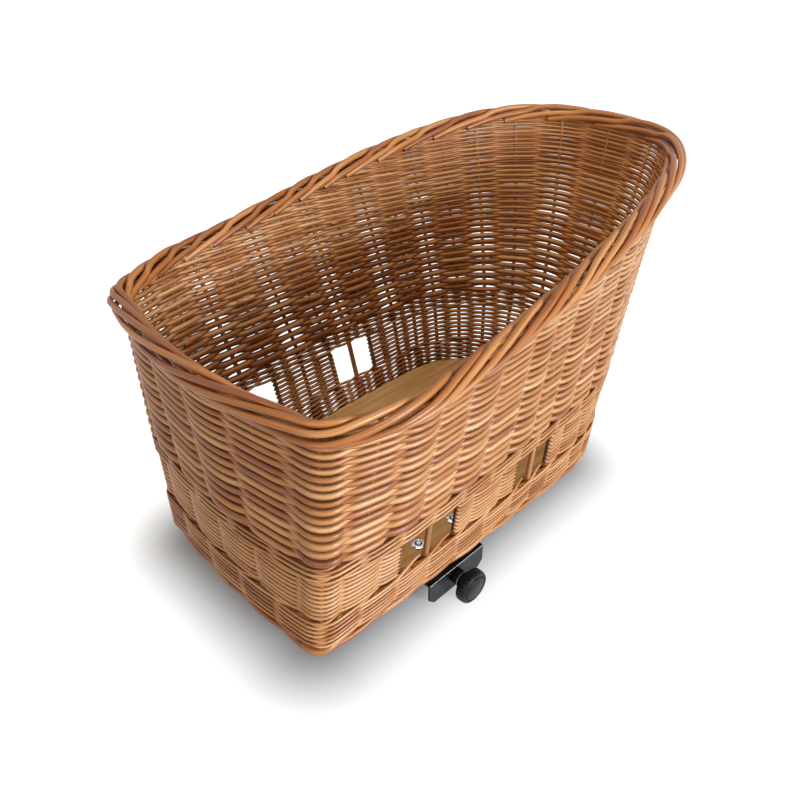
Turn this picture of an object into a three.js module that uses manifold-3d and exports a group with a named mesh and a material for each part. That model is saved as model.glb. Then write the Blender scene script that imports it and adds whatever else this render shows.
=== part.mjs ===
// Bicycle pet basket: a willow basket on a plywood board, with a sprung carrier adapter under it.
// Millimetres, +Z up. The origin is the middle of the adapter's underside, where it sits on a carrier.
// +X runs from the low front of the basket to its high round rear. The knob is on the -Y side.

import * as THREE from 'three';
import { mergeVertices } from 'three/addons/utils/BufferGeometryUtils.js';
import Module from 'manifold-3d';

const wasm = await Module();
wasm.setup();

// Basket plan at the foot, measured back from the foot's front edge
const FOOT_FRONT_X = -187.5;
const FOOT_LENGTH = 501;
const FOOT_FRONT_WIDTH = 270;
const FOOT_SIDE_BOW = 7.4;
const FOOT_FRONT_BOW = 8;
const FOOT_ROUND_START = 378;
const FOOT_ROUND_POWER = 2.7;
const FOOT_CORNER = 20;

// Rim line, through the middle of the border, measured back from the foot's front edge
const RIM_FRONT_SETBACK = 10.5;
const RIM_LENGTH = 606;
const RIM_FRONT_WIDTH = 313;
const RIM_WIDTH = 372;
const RIM_FRONT_BOW = 22.5;
const RIM_ROUND_START = 96;
const RIM_ROUND_POWER = 2.77;
const RIM_FRONT_HEIGHT = 282;
const RIM_REAR_HEIGHT = 358.5;
const RIM_RISE_LINEAR = 0.31;
const RIM_RISE_SQUARE = 2.47;
const RIM_CORNER = 15;
const STAKE_SWEEP = 0.14;

// Woven bands, as heights above the foot
const WALL = 9;
const WALL_PROUD = 1;
const FOOT_HEIGHT = 15;
const FOOT_WIDTH = 20;
const WINDOW_SILL = 53.5;
const WINDOW_HEAD = 108;
const MID_WALE_HEIGHT = 21;

// Rolled border: how far it reaches from the rim line, down to its seat on the wall and down outside the wall
const BORDER_OUT = 10;
const BORDER_IN = 9;
const BORDER_TOP = 8;
const BORDER_SEAT = 3;
const BORDER_HANG = 12;
const BORDER_ROUND = 3;
const BORDER_CLEARANCE = 0.7;

// Windows, as distances behind the foot's front edge, and the stake across each
const FRONT_WINDOW = [96.5, 172];
const REAR_WINDOW = [269, 328];
const WINDOW_STAKE = 5.5;
const BESIDE_WINDOW = 4.3;

// Stakes, counted from the front middle, which lies half a bay from the nearest one
const STAKES = 36;
const CORNER_STAKE = 2.5;
const FRONT_WINDOW_STAKES = [4.5, 6.5];
const REAR_WINDOW_STAKES = [8.5, 10.5];
const SIDE_END_STAKE = 11.5;
const SIDE_END = 378.9;
const SIDE_LEAN = 0.4;
const FRONT_LEAN = -0.35;
const LEAN_START = 1.5;
const LEAN_EASE = 3;
const LEAN_RISE = 190;

// Rows that swing round the stakes of the upper walls, each a little lower than the one below. They are about half as
// high again as the rods' own rows, to keep the solids' faces few.
const FRONT_ROW = 8.2;
const REAR_ROW = 7.7;
const ROW_THINNING = 0.021;
const ROW_EASE_START = 8;
const ROW_EASE = 6;
const ROW_MIDDLE = 4;
const ROW_SWING = 3.4;
const ROW_ROD = 3.6;

// Board and fasteners
const BOARD = 10;
const BOARD_CLEARANCE = 0.5;
const SCREW = 5;
const SCREW_HEAD = 10;
const SCREW_CROWN = 7;
const SCREW_HEAD_HEIGHT = 3.2;
const SCREW_PAST_NUT = 0.5;
const TEE_FLANGE = 17;
const TEE_FLANGE_THICKNESS = 1.5;
const TEE_BARREL = 7;
const TEE_BARREL_LENGTH = 8.5;
const SCREW_CLEARANCE = 0.6;

// Adapter housing, cap and block, between the board and the carrier
const SEAT_BELOW_FOOT = 4;
const ADAPTER_END_CLEARANCE = 1.5;
const HOUSING_FAR_WIDTH = 68;
const HOUSING_NEAR_WIDTH = 78;
const HOUSING_WALL = 2.5;
const HOUSING_BEVEL = 5;
const RIDGE_WIDTH = 27;
const RIDGE_HEIGHT = 1.5;
const CAP_LENGTH = 22.5;
const CAP_THICKNESS = 11;
const CAP_WIDTH = 66;
const CAP_SCREW_SPACING = 48;
const CAP_SCREW_INSET = 11;
const BLOCK_LENGTH = 36.5;
const BLOCK_WIDTH = 78;
const BLOCK_SCREW_SPACING = 55;
const BLOCK_SCREW_INSET = 28.3;

// Fixed hook on the far end
const HOOK_WIDTH = 22;
const HOOK_LEG = 12;
const HOOK_LEG_START = 3;
const HOOK_LIP = 13;
const HOOK_TAB = 28;
const HOOK_THICKNESS = 8;
const RAIL_GAP = 12;

// Bracket, jaw, rod, spring and knob on the near end
const SHEET = 2.5;
const BRACKET_WIDTH = 87;
const BRACKET_START = 2;
const PLATE_PAST_BLOCK = 24.7;
const PLATE_HEIGHT = 31;
const PLATE_CHAMFER = 8;
const ROD = 8;
const ROD_DROP = 16;
const JAW_TRAVEL = 14;
const JAW_WIDTH = 88;
const JAW_LENGTH = 13.4;
const JAW_OVERLAP = 1.7;
const JAW_DROP = 6.8;
const JAW_BAR_HEIGHT = 8;
const JAW_EAR_WIDTH = 17;
const JAW_EAR_HEIGHT = 18;
const JAW_LIP = 11;
const JAW_LIP_HEIGHT = 9;
const JAW_BOSS_WIDTH = 22;
const KEY_NECK = 11;
const KEY_HEAD = 18;
const KEY_HEAD_HEIGHT = 3;
const KEY_LENGTH = 9.8;
const KEY_CLEARANCE = 0.4;
const ROD_IN_JAW = 9.5;
const ROD_IN_KNOB = 14;
const BUSH_FLANGE = 18;
const BUSH_LENGTH = 7;
const BUSH_SPIGOT = 12;
const KNOB = 40;
const KNOB_HUB = 20;
const KNOB_HUB_LENGTH = 6.5;
const KNOB_DISC = 13;
const KNOB_EDGE = 2.5;
const SPRING_WIRE = 1.8;
const SPRING_RADIUS = 7.2;
const SPRING_TURNS = 8;

// Gap left between neighbouring solids, overlap of cutting and joining blocks, and counts of facets
const GAP = 0.3;
const TOOL_PAST = 1;
const TRIM_PAST = 8;
const FRONT_STEPS = 3;
const CORNER_STEPS = 4;
const SIDE_STEPS = 24;
const ROUND_SIDES = 20;
const KNOB_SIDES = 32;
const STAKE_SIDES = 8;
const COIL_STEPS = 8;
const COIL_SIDES = 5;
const PLAN_STEPS = 60;
const SEARCH_STEPS = 40;

// Heights worked out from the sizes above
const FOOT_Z = SEAT_BELOW_FOOT;
const BOARD_Z = FOOT_Z + FOOT_HEIGHT;
const FLOOR_Z = BOARD_Z + BOARD;
const SILL_Z = FOOT_Z + WINDOW_SILL;
const HEAD_Z = FOOT_Z + WINDOW_HEAD;
const UPPER_Z = HEAD_Z + MID_WALE_HEIGHT;
const UNDER_BOARD_Z = BOARD_Z - GAP;

// Half the foot's width at a place along its side
function footHalfWidth(x) {
  const grown = Math.sin((((x - FOOT_FRONT_X) / FOOT_ROUND_START) * Math.PI) / 2);
  return FOOT_FRONT_WIDTH / 2 + FOOT_SIDE_BOW * grown;
}

// Places along Y: the adapter fills the space between the foot border's two sides
const FOOT_INNER = FOOT_WIDTH - WALL_PROUD;
const ADAPTER_REACH = footHalfWidth(-BLOCK_WIDTH / 2) - FOOT_INNER - ADAPTER_END_CLEARANCE;
const BLOCK_END_Y = -ADAPTER_REACH;
const BLOCK_Y = BLOCK_END_Y + BLOCK_LENGTH;
const NEAR_SCREW_Y = BLOCK_Y - BLOCK_SCREW_INSET;
const CAP_Y = ADAPTER_REACH - CAP_LENGTH;
const FAR_SCREW_Y = CAP_Y + CAP_SCREW_INSET;
const HOUSING_NEAR_Y = BLOCK_Y + GAP;
const HOUSING_FAR_Y = CAP_Y - GAP;
const PLATE_Y = BLOCK_END_Y - PLATE_PAST_BLOCK;
const PLATE_INNER_Y = PLATE_Y + SHEET;
const JAW_Y = HOUSING_NEAR_Y + JAW_OVERLAP;
const JAW_END_Y = JAW_Y - JAW_LENGTH;
const KEY_END_Y = JAW_END_Y + GAP;
const BUSH_Y = PLATE_Y - GAP;
const KNOB_Y = BUSH_Y - BUSH_LENGTH - 2 * GAP;
const KNOB_FACE_Y = KNOB_Y - KNOB_HUB_LENGTH - KNOB_DISC;
const ROD_END_Y = KNOB_Y - ROD_IN_KNOB;
const BORE = ROD + 2 * GAP;

const group = new THREE.Group();

// Materials
const finishes = {
  willow: { color: 0xb9783f, roughness: 0.55, metalness: 0 },
  plywood: { color: 0xd9b889, roughness: 0.6, metalness: 0 },
  blackPlastic: { color: 0x24272b, roughness: 0.5, metalness: 0 },
  blackSteel: { color: 0x2b2f33, roughness: 0.4, metalness: 0.3 },
  zinc: { color: 0xb9bdc0, roughness: 0.35, metalness: 1 },
  chrome: { color: 0xd0d3d6, roughness: 0.15, metalness: 1 },
};

function addPart(name, geometry, finish) {
  const mesh = new THREE.Mesh(geometry, new THREE.MeshStandardMaterial(finishes[finish]));
  mesh.name = name;
  group.add(mesh);
}

// Solids from points: a list of corners and a list of triangles
function solidFrom(points, triangles) {
  const geometry = new THREE.BufferGeometry();
  const flat = points.flatMap((p) => [p.x, p.y, p.z]);
  geometry.setAttribute('position', new THREE.Float32BufferAttribute(flat, 3));
  geometry.setIndex(triangles.flat());
  geometry.computeVertexNormals();
  return geometry;
}

// Skin over equal rings of points, closed by end caps or into a loop; its faces from side turnedFrom on are split
// along their other diagonal
function loft(rings, looped, cap, turnedFrom = Infinity) {
  const sides = rings[0].length;
  const triangles = [];
  const last = looped ? rings.length : rings.length - 1;
  for (let i = 0; i < last; i += 1) {
    const a = i * sides;
    const b = ((i + 1) % rings.length) * sides;
    for (let k = 0; k < sides; k += 1) {
      const n = (k + 1) % sides;
      if (k < turnedFrom) triangles.push([a + k, a + n, b + n], [a + k, b + n, b + k]);
      else triangles.push([a + k, a + n, b + k], [a + n, b + n, b + k]);
    }
  }
  if (!looped) {
    const end = (rings.length - 1) * sides;
    cap.forEach(([p, q, r]) => triangles.push([p, r, q], [end + p, end + q, end + r]));
  }
  return solidFrom(rings.flat(), triangles);
}

// Solids cut and joined
function toManifold(geometry) {
  const bare = geometry.clone();
  bare.deleteAttribute('normal');
  bare.deleteAttribute('uv');
  const merged = mergeVertices(bare, 1e-4);
  return new wasm.Manifold(new wasm.Mesh({
    numProp: 3,
    vertProperties: new Float32Array(merged.attributes.position.array),
    triVerts: new Uint32Array(merged.index.array),
  }));
}

function fromManifold(solid) {
  const mesh = solid.getMesh();
  const geometry = new THREE.BufferGeometry();
  geometry.setAttribute('position', new THREE.Float32BufferAttribute(mesh.vertProperties, 3));
  geometry.setIndex(new THREE.Uint32BufferAttribute(mesh.triVerts, 1));
  geometry.computeVertexNormals();
  return geometry;
}

function join(geometries) {
  return fromManifold(geometries.map(toManifold).reduce((a, b) => a.add(b)));
}

function cut(geometry, tools) {
  return fromManifold(tools.map(toManifold).reduce((a, b) => a.subtract(b), toManifold(geometry)));
}

function block(x0, x1, y0, y1, z0, z1) {
  const box = new THREE.BoxGeometry(x1 - x0, y1 - y0, z1 - z0);
  return box.translate((x0 + x1) / 2, (y0 + y1) / 2, (z0 + z1) / 2);
}

function circleHole(x, y, diameter) {
  const hole = new THREE.Path();
  hole.absarc(x, y, diameter / 2, 0, 2 * Math.PI, true);
  return hole;
}

function plateUp(shape, z0, z1) {
  const options = { depth: z1 - z0, bevelEnabled: false, curveSegments: ROUND_SIDES / 2 };
  return new THREE.ExtrudeGeometry(shape, options).translate(0, 0, z0);
}

// A turned piece about the rod's axis: profile points are [radius, y]
function turnedOnRod(profile, sides) {
  const points = profile.map(([r, y]) => new THREE.Vector2(r, y));
  return new THREE.LatheGeometry(points, sides).translate(0, 0, -ROD_DROP);
}

// A turned piece about an upright axis: profile points are [radius, z]
function turnedUpright(profile, x, y) {
  const points = profile.map(([r, z]) => new THREE.Vector2(r, z));
  return new THREE.LatheGeometry(points, ROUND_SIDES).rotateX(Math.PI / 2).translate(x, y, 0);
}

// Half of a plan outline, from the front middle to the rear middle, on the +Y side
function halfPlan(plan) {
  const half = plan.frontWidth / 2;
  const front = [];
  const side = [];
  const fine = PLAN_STEPS;
  for (let i = 0; i <= fine; i += 1) {
    const y = ((half - plan.corner) * i) / fine;
    const bow = plan.frontBow * Math.cos((Math.PI * y) / (2 * half));
    front.push(new THREE.Vector2(plan.front - bow, y));
  }
  for (let i = 0; i <= fine; i += 1) {
    const t = i / fine;
    const x = plan.front + plan.corner + (plan.roundStart - plan.corner) * t;
    const grown = Math.sin((((x - plan.front) / plan.roundStart) * Math.PI) / 2);
    side.push(new THREE.Vector2(x, half + (plan.halfWidth - half) * grown));
  }
  for (let i = 1; i <= fine; i += 1) {
    const a = (Math.PI / 2) * (i / fine);
    const x = plan.roundStart + (plan.length - plan.roundStart) * Math.sin(a) ** (2 / plan.power);
    const y = plan.halfWidth * Math.max(Math.cos(a), 0) ** (2 / plan.power);
    side.push(new THREE.Vector2(plan.front + x, i === fine ? 0 : y));
  }
  const corner = new THREE.QuadraticBezierCurve(
    front[fine],
    new THREE.Vector2(plan.front, half),
    side[0],
  );
  return { front, corner, side };
}

function alongPolyline(points, share) {
  const lengths = [0];
  for (let i = 1; i < points.length; i += 1) {
    lengths.push(lengths[i - 1] + points[i].distanceTo(points[i - 1]));
  }
  const wanted = Math.min(Math.max(share, 0), 1) * lengths[lengths.length - 1];
  let k = 1;
  while (k < points.length - 1 && lengths[k] < wanted) k += 1;
  const t = (wanted - lengths[k - 1]) / (lengths[k] - lengths[k - 1]);
  return points[k - 1].clone().lerp(points[k], t);
}

const footPlan = {
  front: FOOT_FRONT_X,
  frontWidth: FOOT_FRONT_WIDTH,
  frontBow: FOOT_FRONT_BOW,
  halfWidth: FOOT_FRONT_WIDTH / 2 + FOOT_SIDE_BOW,
  roundStart: FOOT_ROUND_START,
  length: FOOT_LENGTH,
  power: FOOT_ROUND_POWER,
  corner: FOOT_CORNER,
};

const rimPlan = {
  front: FOOT_FRONT_X + RIM_FRONT_SETBACK,
  frontWidth: RIM_FRONT_WIDTH,
  frontBow: RIM_FRONT_BOW,
  halfWidth: RIM_WIDTH / 2,
  roundStart: RIM_ROUND_START,
  length: RIM_LENGTH,
  power: RIM_ROUND_POWER,
  corner: RIM_CORNER,
};

// Height of the rim line, which rises smoothly from the front to the rear
function rimHeight(x) {
  const u = Math.min(Math.max((x - rimPlan.front) / RIM_LENGTH, 0), 1);
  const cubic = 1 - RIM_RISE_LINEAR - RIM_RISE_SQUARE;
  const rise = RIM_RISE_LINEAR * u + RIM_RISE_SQUARE * u ** 2 + cubic * u ** 3;
  return FOOT_Z + RIM_FRONT_HEIGHT + (RIM_REAR_HEIGHT - RIM_FRONT_HEIGHT) * rise;
}

// Stations round the basket: matching points of the foot and of the rim, front middle first
function halfStations() {
  const foot = halfPlan(footPlan);
  const rim = halfPlan(rimPlan);
  const list = [];
  const add = (f, r) => list.push([
    new THREE.Vector3(f.x, f.y, FOOT_Z),
    new THREE.Vector3(r.x, r.y, rimHeight(r.x)),
  ]);
  for (let i = 0; i < FRONT_STEPS; i += 1) {
    add(alongPolyline(foot.front, i / FRONT_STEPS), alongPolyline(rim.front, i / FRONT_STEPS));
  }
  for (let i = 0; i < CORNER_STEPS; i += 1) {
    add(foot.corner.getPoint(i / CORNER_STEPS), rim.corner.getPoint(i / CORNER_STEPS));
  }
  for (let i = 0; i <= SIDE_STEPS; i += 1) {
    const share = i / SIDE_STEPS;
    const swept = share + STAKE_SWEEP * Math.sin(Math.PI * share);
    add(alongPolyline(foot.side, swept), alongPolyline(rim.side, share));
  }
  return list;
}

const half = halfStations();
const HALF_COUNT = half.length - 1;
const mirrored = half.map(([f, r]) => [
  new THREE.Vector3(f.x, -f.y, f.z),
  new THREE.Vector3(r.x, -r.y, r.z),
]);
const stations = [...mirrored, ...half.slice(1, HALF_COUNT).reverse()];
const COUNT = stations.length;

// Outward normals in plan, one for each station, of the foot line (0) and of the rim line (1)
function planNormals(which) {
  return stations.map((s, i) => {
    const before = stations[(i + COUNT - 1) % COUNT][which];
    const after = stations[(i + 1) % COUNT][which];
    return new THREE.Vector3(after.y - before.y, before.x - after.x, 0).normalize();
  });
}

const normals = [planNormals(0), planNormals(1)];

function between(list, q) {
  const base = Math.floor(q);
  const a = list[((base % COUNT) + COUNT) % COUNT];
  const b = list[(((base + 1) % COUNT) + COUNT) % COUNT];
  return a.clone().lerp(b, q - base);
}

const footLine = stations.map((s) => s[0]);
const rimLine = stations.map((s) => s[1]);

// A point of the wall: q counts stations round the basket, z is its height, inset is inwards
function wallPoint(q, z, inset) {
  const foot = between(footLine, q);
  const rim = between(rimLine, q);
  const t = (z - foot.z) / (rim.z - foot.z);
  const normal = between(normals[0], q).lerp(between(normals[1], q), t).normalize();
  return foot.lerp(rim, t).addScaledVector(normal, -inset);
}

// Station of the knob side's wall at a distance behind the foot's front edge, at window height
function stationAt(distance) {
  const x = FOOT_FRONT_X + distance;
  const z = (SILL_Z + HEAD_Z) / 2;
  let low = FRONT_STEPS;
  let high = HALF_COUNT;
  for (let i = 0; i < SEARCH_STEPS; i += 1) {
    const middle = (low + high) / 2;
    if (wallPoint(middle, z, 0).x < x) low = middle;
    else high = middle;
  }
  return low;
}

// How many stations a short length makes there
function stationsFor(q, length) {
  const step = 0.1;
  const span = wallPoint(q, SILL_Z, 0).distanceTo(wallPoint(q + step, SILL_Z, 0));
  return (step * length) / span;
}

// A woven panel from station q0 to q1, or right round when they are a loop apart
function wovenPanel(q0, q1, lowAt, highAt, outer, inner) {
  const looped = q1 - q0 >= COUNT;
  const columns = [q0];
  for (let q = Math.floor(q0) + 1; q < q1 - 1e-6; q += 1) columns.push(q);
  if (!looped) columns.push(q1);
  const rings = columns.map((q) => [
    wallPoint(q, lowAt(q), inner),
    wallPoint(q, highAt(q), inner),
    wallPoint(q, highAt(q), outer),
    wallPoint(q, lowAt(q), outer),
  ]);
  return loft(rings, looped, panelEnds(1));
}

// Triangles of a panel's end, whose ring goes up the inside and down the outside
function panelEnds(rows) {
  const ends = [];
  const size = 2 * (rows + 1);
  for (let j = 0; j < rows; j += 1) {
    const far = size - 1 - j;
    ends.push([j, j + 1, far - 1], [j, far - 1, far]);
  }
  return ends;
}

const flatAt = (z) => () => z;
const underBorder = (q) => between(rimLine, q).z - BORDER_SEAT - GAP;
const WALL_INNER = WALL - WALL_PROUD;

// Foot border, under the board, and the bands of weave that go right round
function buildBands() {
  const foot = wovenPanel(0, COUNT, flatAt(FOOT_Z), flatAt(UNDER_BOARD_Z), -WALL_PROUD, FOOT_INNER);
  addPart('foot_border', foot, 'willow');
  const band = (name, low, high) => {
    const ring = wovenPanel(0, COUNT, flatAt(low), flatAt(high), -WALL_PROUD, WALL_INNER);
    addPart(name, ring, 'willow');
  };
  band('upsett_wale', BOARD_Z, SILL_Z);
  band('middle_wale', HEAD_Z + GAP, UPPER_Z - GAP);
}

// Panels of weave between the windows
function buildWindowBand() {
  const low = flatAt(SILL_Z + GAP);
  const high = flatAt(HEAD_Z);
  const panel = (name, q0, q1) => {
    addPart(name, wovenPanel(q0, q1, low, high, -WALL_PROUD, WALL_INNER), 'willow');
  };
  const [a, b] = FRONT_WINDOW.map(stationAt);
  const [c, d] = REAR_WINDOW.map(stationAt);
  panel('front_window_panel', -a, a);
  panel('knob_side_window_panel', b, c);
  panel('rear_window_panel', d, COUNT - d);
  panel('hook_side_window_panel', COUNT - c, COUNT - b);
  const windows = { front: (a + b) / 2, rear: (c + d) / 2 };
  Object.entries(windows).forEach(([place, q]) => {
    addPart(`knob_side_${place}_window_stake`, windowStake(q), 'willow');
    addPart(`hook_side_${place}_window_stake`, windowStake(COUNT - q), 'willow');
  });
}

function windowStake(q) {
  const depth = WALL / 2 - WALL_PROUD;
  const foot = wallPoint(q, SILL_Z + GAP, depth);
  const head = wallPoint(q, HEAD_Z, depth);
  const lean = head.clone().sub(foot).divideScalar(head.z - foot.z);
  const ring = (z) => Array.from({ length: STAKE_SIDES }, (unused, k) => {
    const a = (2 * Math.PI * k) / STAKE_SIDES;
    const way = new THREE.Vector3(Math.cos(a), Math.sin(a), 0);
    return foot.clone().addScaledVector(lean, z - foot.z).addScaledVector(way, WINDOW_STAKE / 2);
  });
  const cap = Array.from({ length: STAKE_SIDES - 2 }, (unused, k) => [0, k + 1, k + 2]);
  return loft([ring(foot.z), ring(head.z)], false, cap);
}

// Value at a key of a rising list of [key, value] pairs, straight between two of them
function readBetween(pairs, key) {
  let i = 1;
  while (i < pairs.length - 1 && pairs[i][0] < key) i += 1;
  const [a, from] = pairs[i - 1];
  const [b, to] = pairs[i];
  return from + ((to - from) * (key - a)) / (b - a);
}

const footLengths = [0];
for (let i = 1; i <= HALF_COUNT; i += 1) {
  footLengths.push(footLengths[i - 1] + footLine[i].distanceTo(footLine[i - 1]));
}
const lengthsByStation = footLengths.map((length, q) => [q, length]);
const stationsByLength = footLengths.map((length, q) => [length, q]);

// Stakes of the knob side whose places are known, with their lengths along the foot; the rest stand evenly between
function knownStakes() {
  const known = [[0, 0], [CORNER_STAKE, FRONT_STEPS + CORNER_STEPS / 2]];
  [[FRONT_WINDOW, FRONT_WINDOW_STAKES], [REAR_WINDOW, REAR_WINDOW_STAKES]].forEach(([edges, pair]) => {
    known.push([pair[0], stationAt(edges[0] - BESIDE_WINDOW)], [pair[1], stationAt(edges[1] + BESIDE_WINDOW)]);
  });
  known.push([SIDE_END_STAKE, stationAt(SIDE_END)], [STAKES / 2, HALF_COUNT]);
  return known.map(([s, q]) => [s, readBetween(lengthsByStation, q)]);
}

const stakeLengths = knownStakes();

// Station of a place counted in stakes, which may lie between two
function stakeStation(s) {
  if (s < 0) return -stakeStation(-s);
  if (s > STAKES / 2) return COUNT - stakeStation(STAKES - s);
  return readBetween(stationsByLength, readBetween(stakeLengths, s));
}

function eased(t) {
  const held = Math.min(Math.max(t, 0), 1);
  return held * held * (3 - 2 * held);
}

const fromFront = (s) => Math.min(Math.abs(s), STAKES - Math.abs(s));

// Station of a stake at a height: above the windows the stakes lean round the basket, and in front the other way
function leaningStation(s, z) {
  const lean = FRONT_LEAN + (SIDE_LEAN - FRONT_LEAN) * eased((fromFront(s) - LEAN_START) / LEAN_EASE);
  return stakeStation(s + (lean * (z - UPPER_Z)) / LEAN_RISE);
}

// Height of the middle of a row of rods; the lowest row is a little lower towards the rear
function rowZ(s, k) {
  const lowest = FRONT_ROW + (REAR_ROW - FRONT_ROW) * eased((fromFront(s) - ROW_EASE_START) / ROW_EASE);
  return UPPER_Z + (lowest / ROW_THINNING) * (1 - Math.exp(-ROW_THINNING * (k + 0.5)));
}

const wallTop = (s) => underBorder(leaningStation(s, underBorder(stakeStation(s))));

// Upper wall between two stakes: each row swings outside one stake and inside the next, up to the border
function rowedWall(first, last) {
  const count = 2 * (last - first);
  const places = Array.from({ length: count + 1 }, (unused, i) => first + i / 2);
  let rows = 1;
  while (places.some((s) => rowZ(s, rows - 1) < wallTop(s))) rows += 1;
  const rings = places.map((s, i) => {
    const inside = [];
    const outside = [];
    const add = (z, middle) => {
      let q = leaningStation(s, z);
      if (i === 0) q += stationsFor(q, GAP / 2);
      if (i === count) q -= stationsFor(q, GAP / 2);
      inside.push(wallPoint(q, z, middle + ROW_ROD / 2));
      outside.unshift(wallPoint(q, z, middle - ROW_ROD / 2));
    };
    add(UPPER_Z, ROW_MIDDLE);
    for (let k = 0; k < rows; k += 1) {
      add(rowZ(s, k), ROW_MIDDLE + ROW_SWING * Math.cos(Math.PI * (s - 0.5 + k)));
    }
    return [...inside, ...outside];
  });
  const wall = loft(rings, false, panelEnds(rows), rows + 1);
  const outer = ROW_MIDDLE - ROW_SWING - ROW_ROD / 2 - TRIM_PAST;
  const inner = ROW_MIDDLE + ROW_SWING + ROW_ROD / 2 + TRIM_PAST;
  const past = Math.max(...places.map((s) => rowZ(s, rows - 1))) + TRIM_PAST;
  // The columns of what is cut away stand between the wall's own, so no two edges lie along each other
  const above = Array.from({ length: count + 2 }, (unused, i) => {
    const s = first + (i - 0.5) / 2;
    const low = wallTop(s) - GAP;
    const lowQ = leaningStation(s, low);
    const pastQ = leaningStation(s, past);
    return [
      wallPoint(lowQ, low, inner),
      wallPoint(pastQ, past, inner),
      wallPoint(pastQ, past, outer),
      wallPoint(lowQ, low, outer),
    ];
  });
  return cut(wall, [loft(above, false, panelEnds(1))]);
}

// Upper walls, from the middle wale to the border
function buildUpperWalls() {
  const wall = (name, first, last) => addPart(name, rowedWall(first, last), 'willow');
  const rearEnd = STAKES - SIDE_END_STAKE;
  wall('front_upper_wall', -CORNER_STAKE, CORNER_STAKE);
  wall('knob_side_upper_wall', CORNER_STAKE, SIDE_END_STAKE);
  wall('rear_upper_wall', SIDE_END_STAKE, rearEnd);
  wall('hook_side_upper_wall', rearEnd, STAKES - CORNER_STAKE);
}

// Rolled border on the rim: it lies on the wall, hangs down outside it and follows the rim line round
function buildBorder() {
  const hung = WALL_PROUD + BORDER_CLEARANCE;
  const section = [
    [BORDER_OUT - BORDER_ROUND, -BORDER_HANG],
    [hung, -BORDER_HANG],
    [hung, -BORDER_SEAT],
    [-BORDER_IN, -BORDER_SEAT],
    [-BORDER_IN, BORDER_TOP - BORDER_ROUND],
    [BORDER_ROUND - BORDER_IN, BORDER_TOP],
    [0, BORDER_TOP],
    [BORDER_OUT - BORDER_ROUND, BORDER_TOP / 2],
    [BORDER_OUT, 0],
    [BORDER_OUT, BORDER_ROUND - BORDER_HANG],
  ];
  const rings = stations.map((s, i) => section.map(([across, up]) => {
    const point = rimLine[i].clone().addScaledVector(normals[1][i], across);
    point.z += up;
    return point;
  }));
  addPart('rim_border', loft(rings, true, []), 'willow');
}

// Screws: their places, and the height that each head seats at
const NEAR_HEAD_Z = -SHEET - GAP;
const FAR_HEAD_Z = UNDER_BOARD_Z - CAP_THICKNESS - GAP;
const screwPlaces = [
  { side: 'knob_side_front', x: -BLOCK_SCREW_SPACING / 2, y: NEAR_SCREW_Y, headZ: NEAR_HEAD_Z },
  { side: 'knob_side_rear', x: BLOCK_SCREW_SPACING / 2, y: NEAR_SCREW_Y, headZ: NEAR_HEAD_Z },
  { side: 'hook_side_front', x: -CAP_SCREW_SPACING / 2, y: FAR_SCREW_Y, headZ: FAR_HEAD_Z },
  { side: 'hook_side_rear', x: CAP_SCREW_SPACING / 2, y: FAR_SCREW_Y, headZ: FAR_HEAD_Z },
];
const nearScrews = screwPlaces.slice(0, 2);
const farScrews = screwPlaces.slice(2);

// Plywood board, inside the walls, on the foot border
function buildBoard() {
  const inset = WALL_INNER + BOARD_CLEARANCE;
  const outline = stations.map((s, q) => {
    const low = wallPoint(q, BOARD_Z, inset);
    const high = wallPoint(q, FLOOR_Z, inset);
    const leansIn = high.clone().sub(low).dot(normals[0][q]) < 0;
    return leansIn ? new THREE.Vector2(high.x, high.y) : new THREE.Vector2(low.x, low.y);
  });
  const shape = new THREE.Shape(outline);
  const hole = TEE_BARREL + SCREW_CLEARANCE;
  shape.holes = screwPlaces.map((p) => circleHole(p.x, p.y, hole));
  addPart('base_board', plateUp(shape, BOARD_Z, FLOOR_Z), 'plywood');
}

// Screws up through the adapter into tee nuts on the board
function buildFasteners() {
  const flangeZ = FLOOR_Z + GAP;
  const barrelZ = flangeZ - TEE_BARREL_LENGTH;
  const topZ = flangeZ + TEE_FLANGE_THICKNESS;
  const bore = (SCREW + SCREW_CLEARANCE) / 2;
  const tipZ = topZ + SCREW_PAST_NUT;
  screwPlaces.forEach((p) => {
    const nut = [[bore, barrelZ], [TEE_BARREL / 2, barrelZ], [TEE_BARREL / 2, flangeZ],
      [TEE_FLANGE / 2, flangeZ], [TEE_FLANGE / 2, topZ], [bore, topZ], [bore, barrelZ]];
    addPart(`${p.side}_tee_nut`, turnedUpright(nut, p.x, p.y), 'zinc');
    const crownZ = p.headZ - SCREW_HEAD_HEIGHT;
    const roundZ = p.headZ - SCREW_HEAD_HEIGHT / 2;
    const screw = [[0, crownZ], [SCREW_CROWN / 2, crownZ], [SCREW_HEAD / 2, roundZ],
      [SCREW_HEAD / 2, p.headZ], [SCREW / 2, p.headZ], [SCREW / 2, tipZ], [0, tipZ]];
    addPart(`${p.side}_screw`, turnedUpright(screw, p.x, p.y), 'zinc');
  });
}

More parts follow.
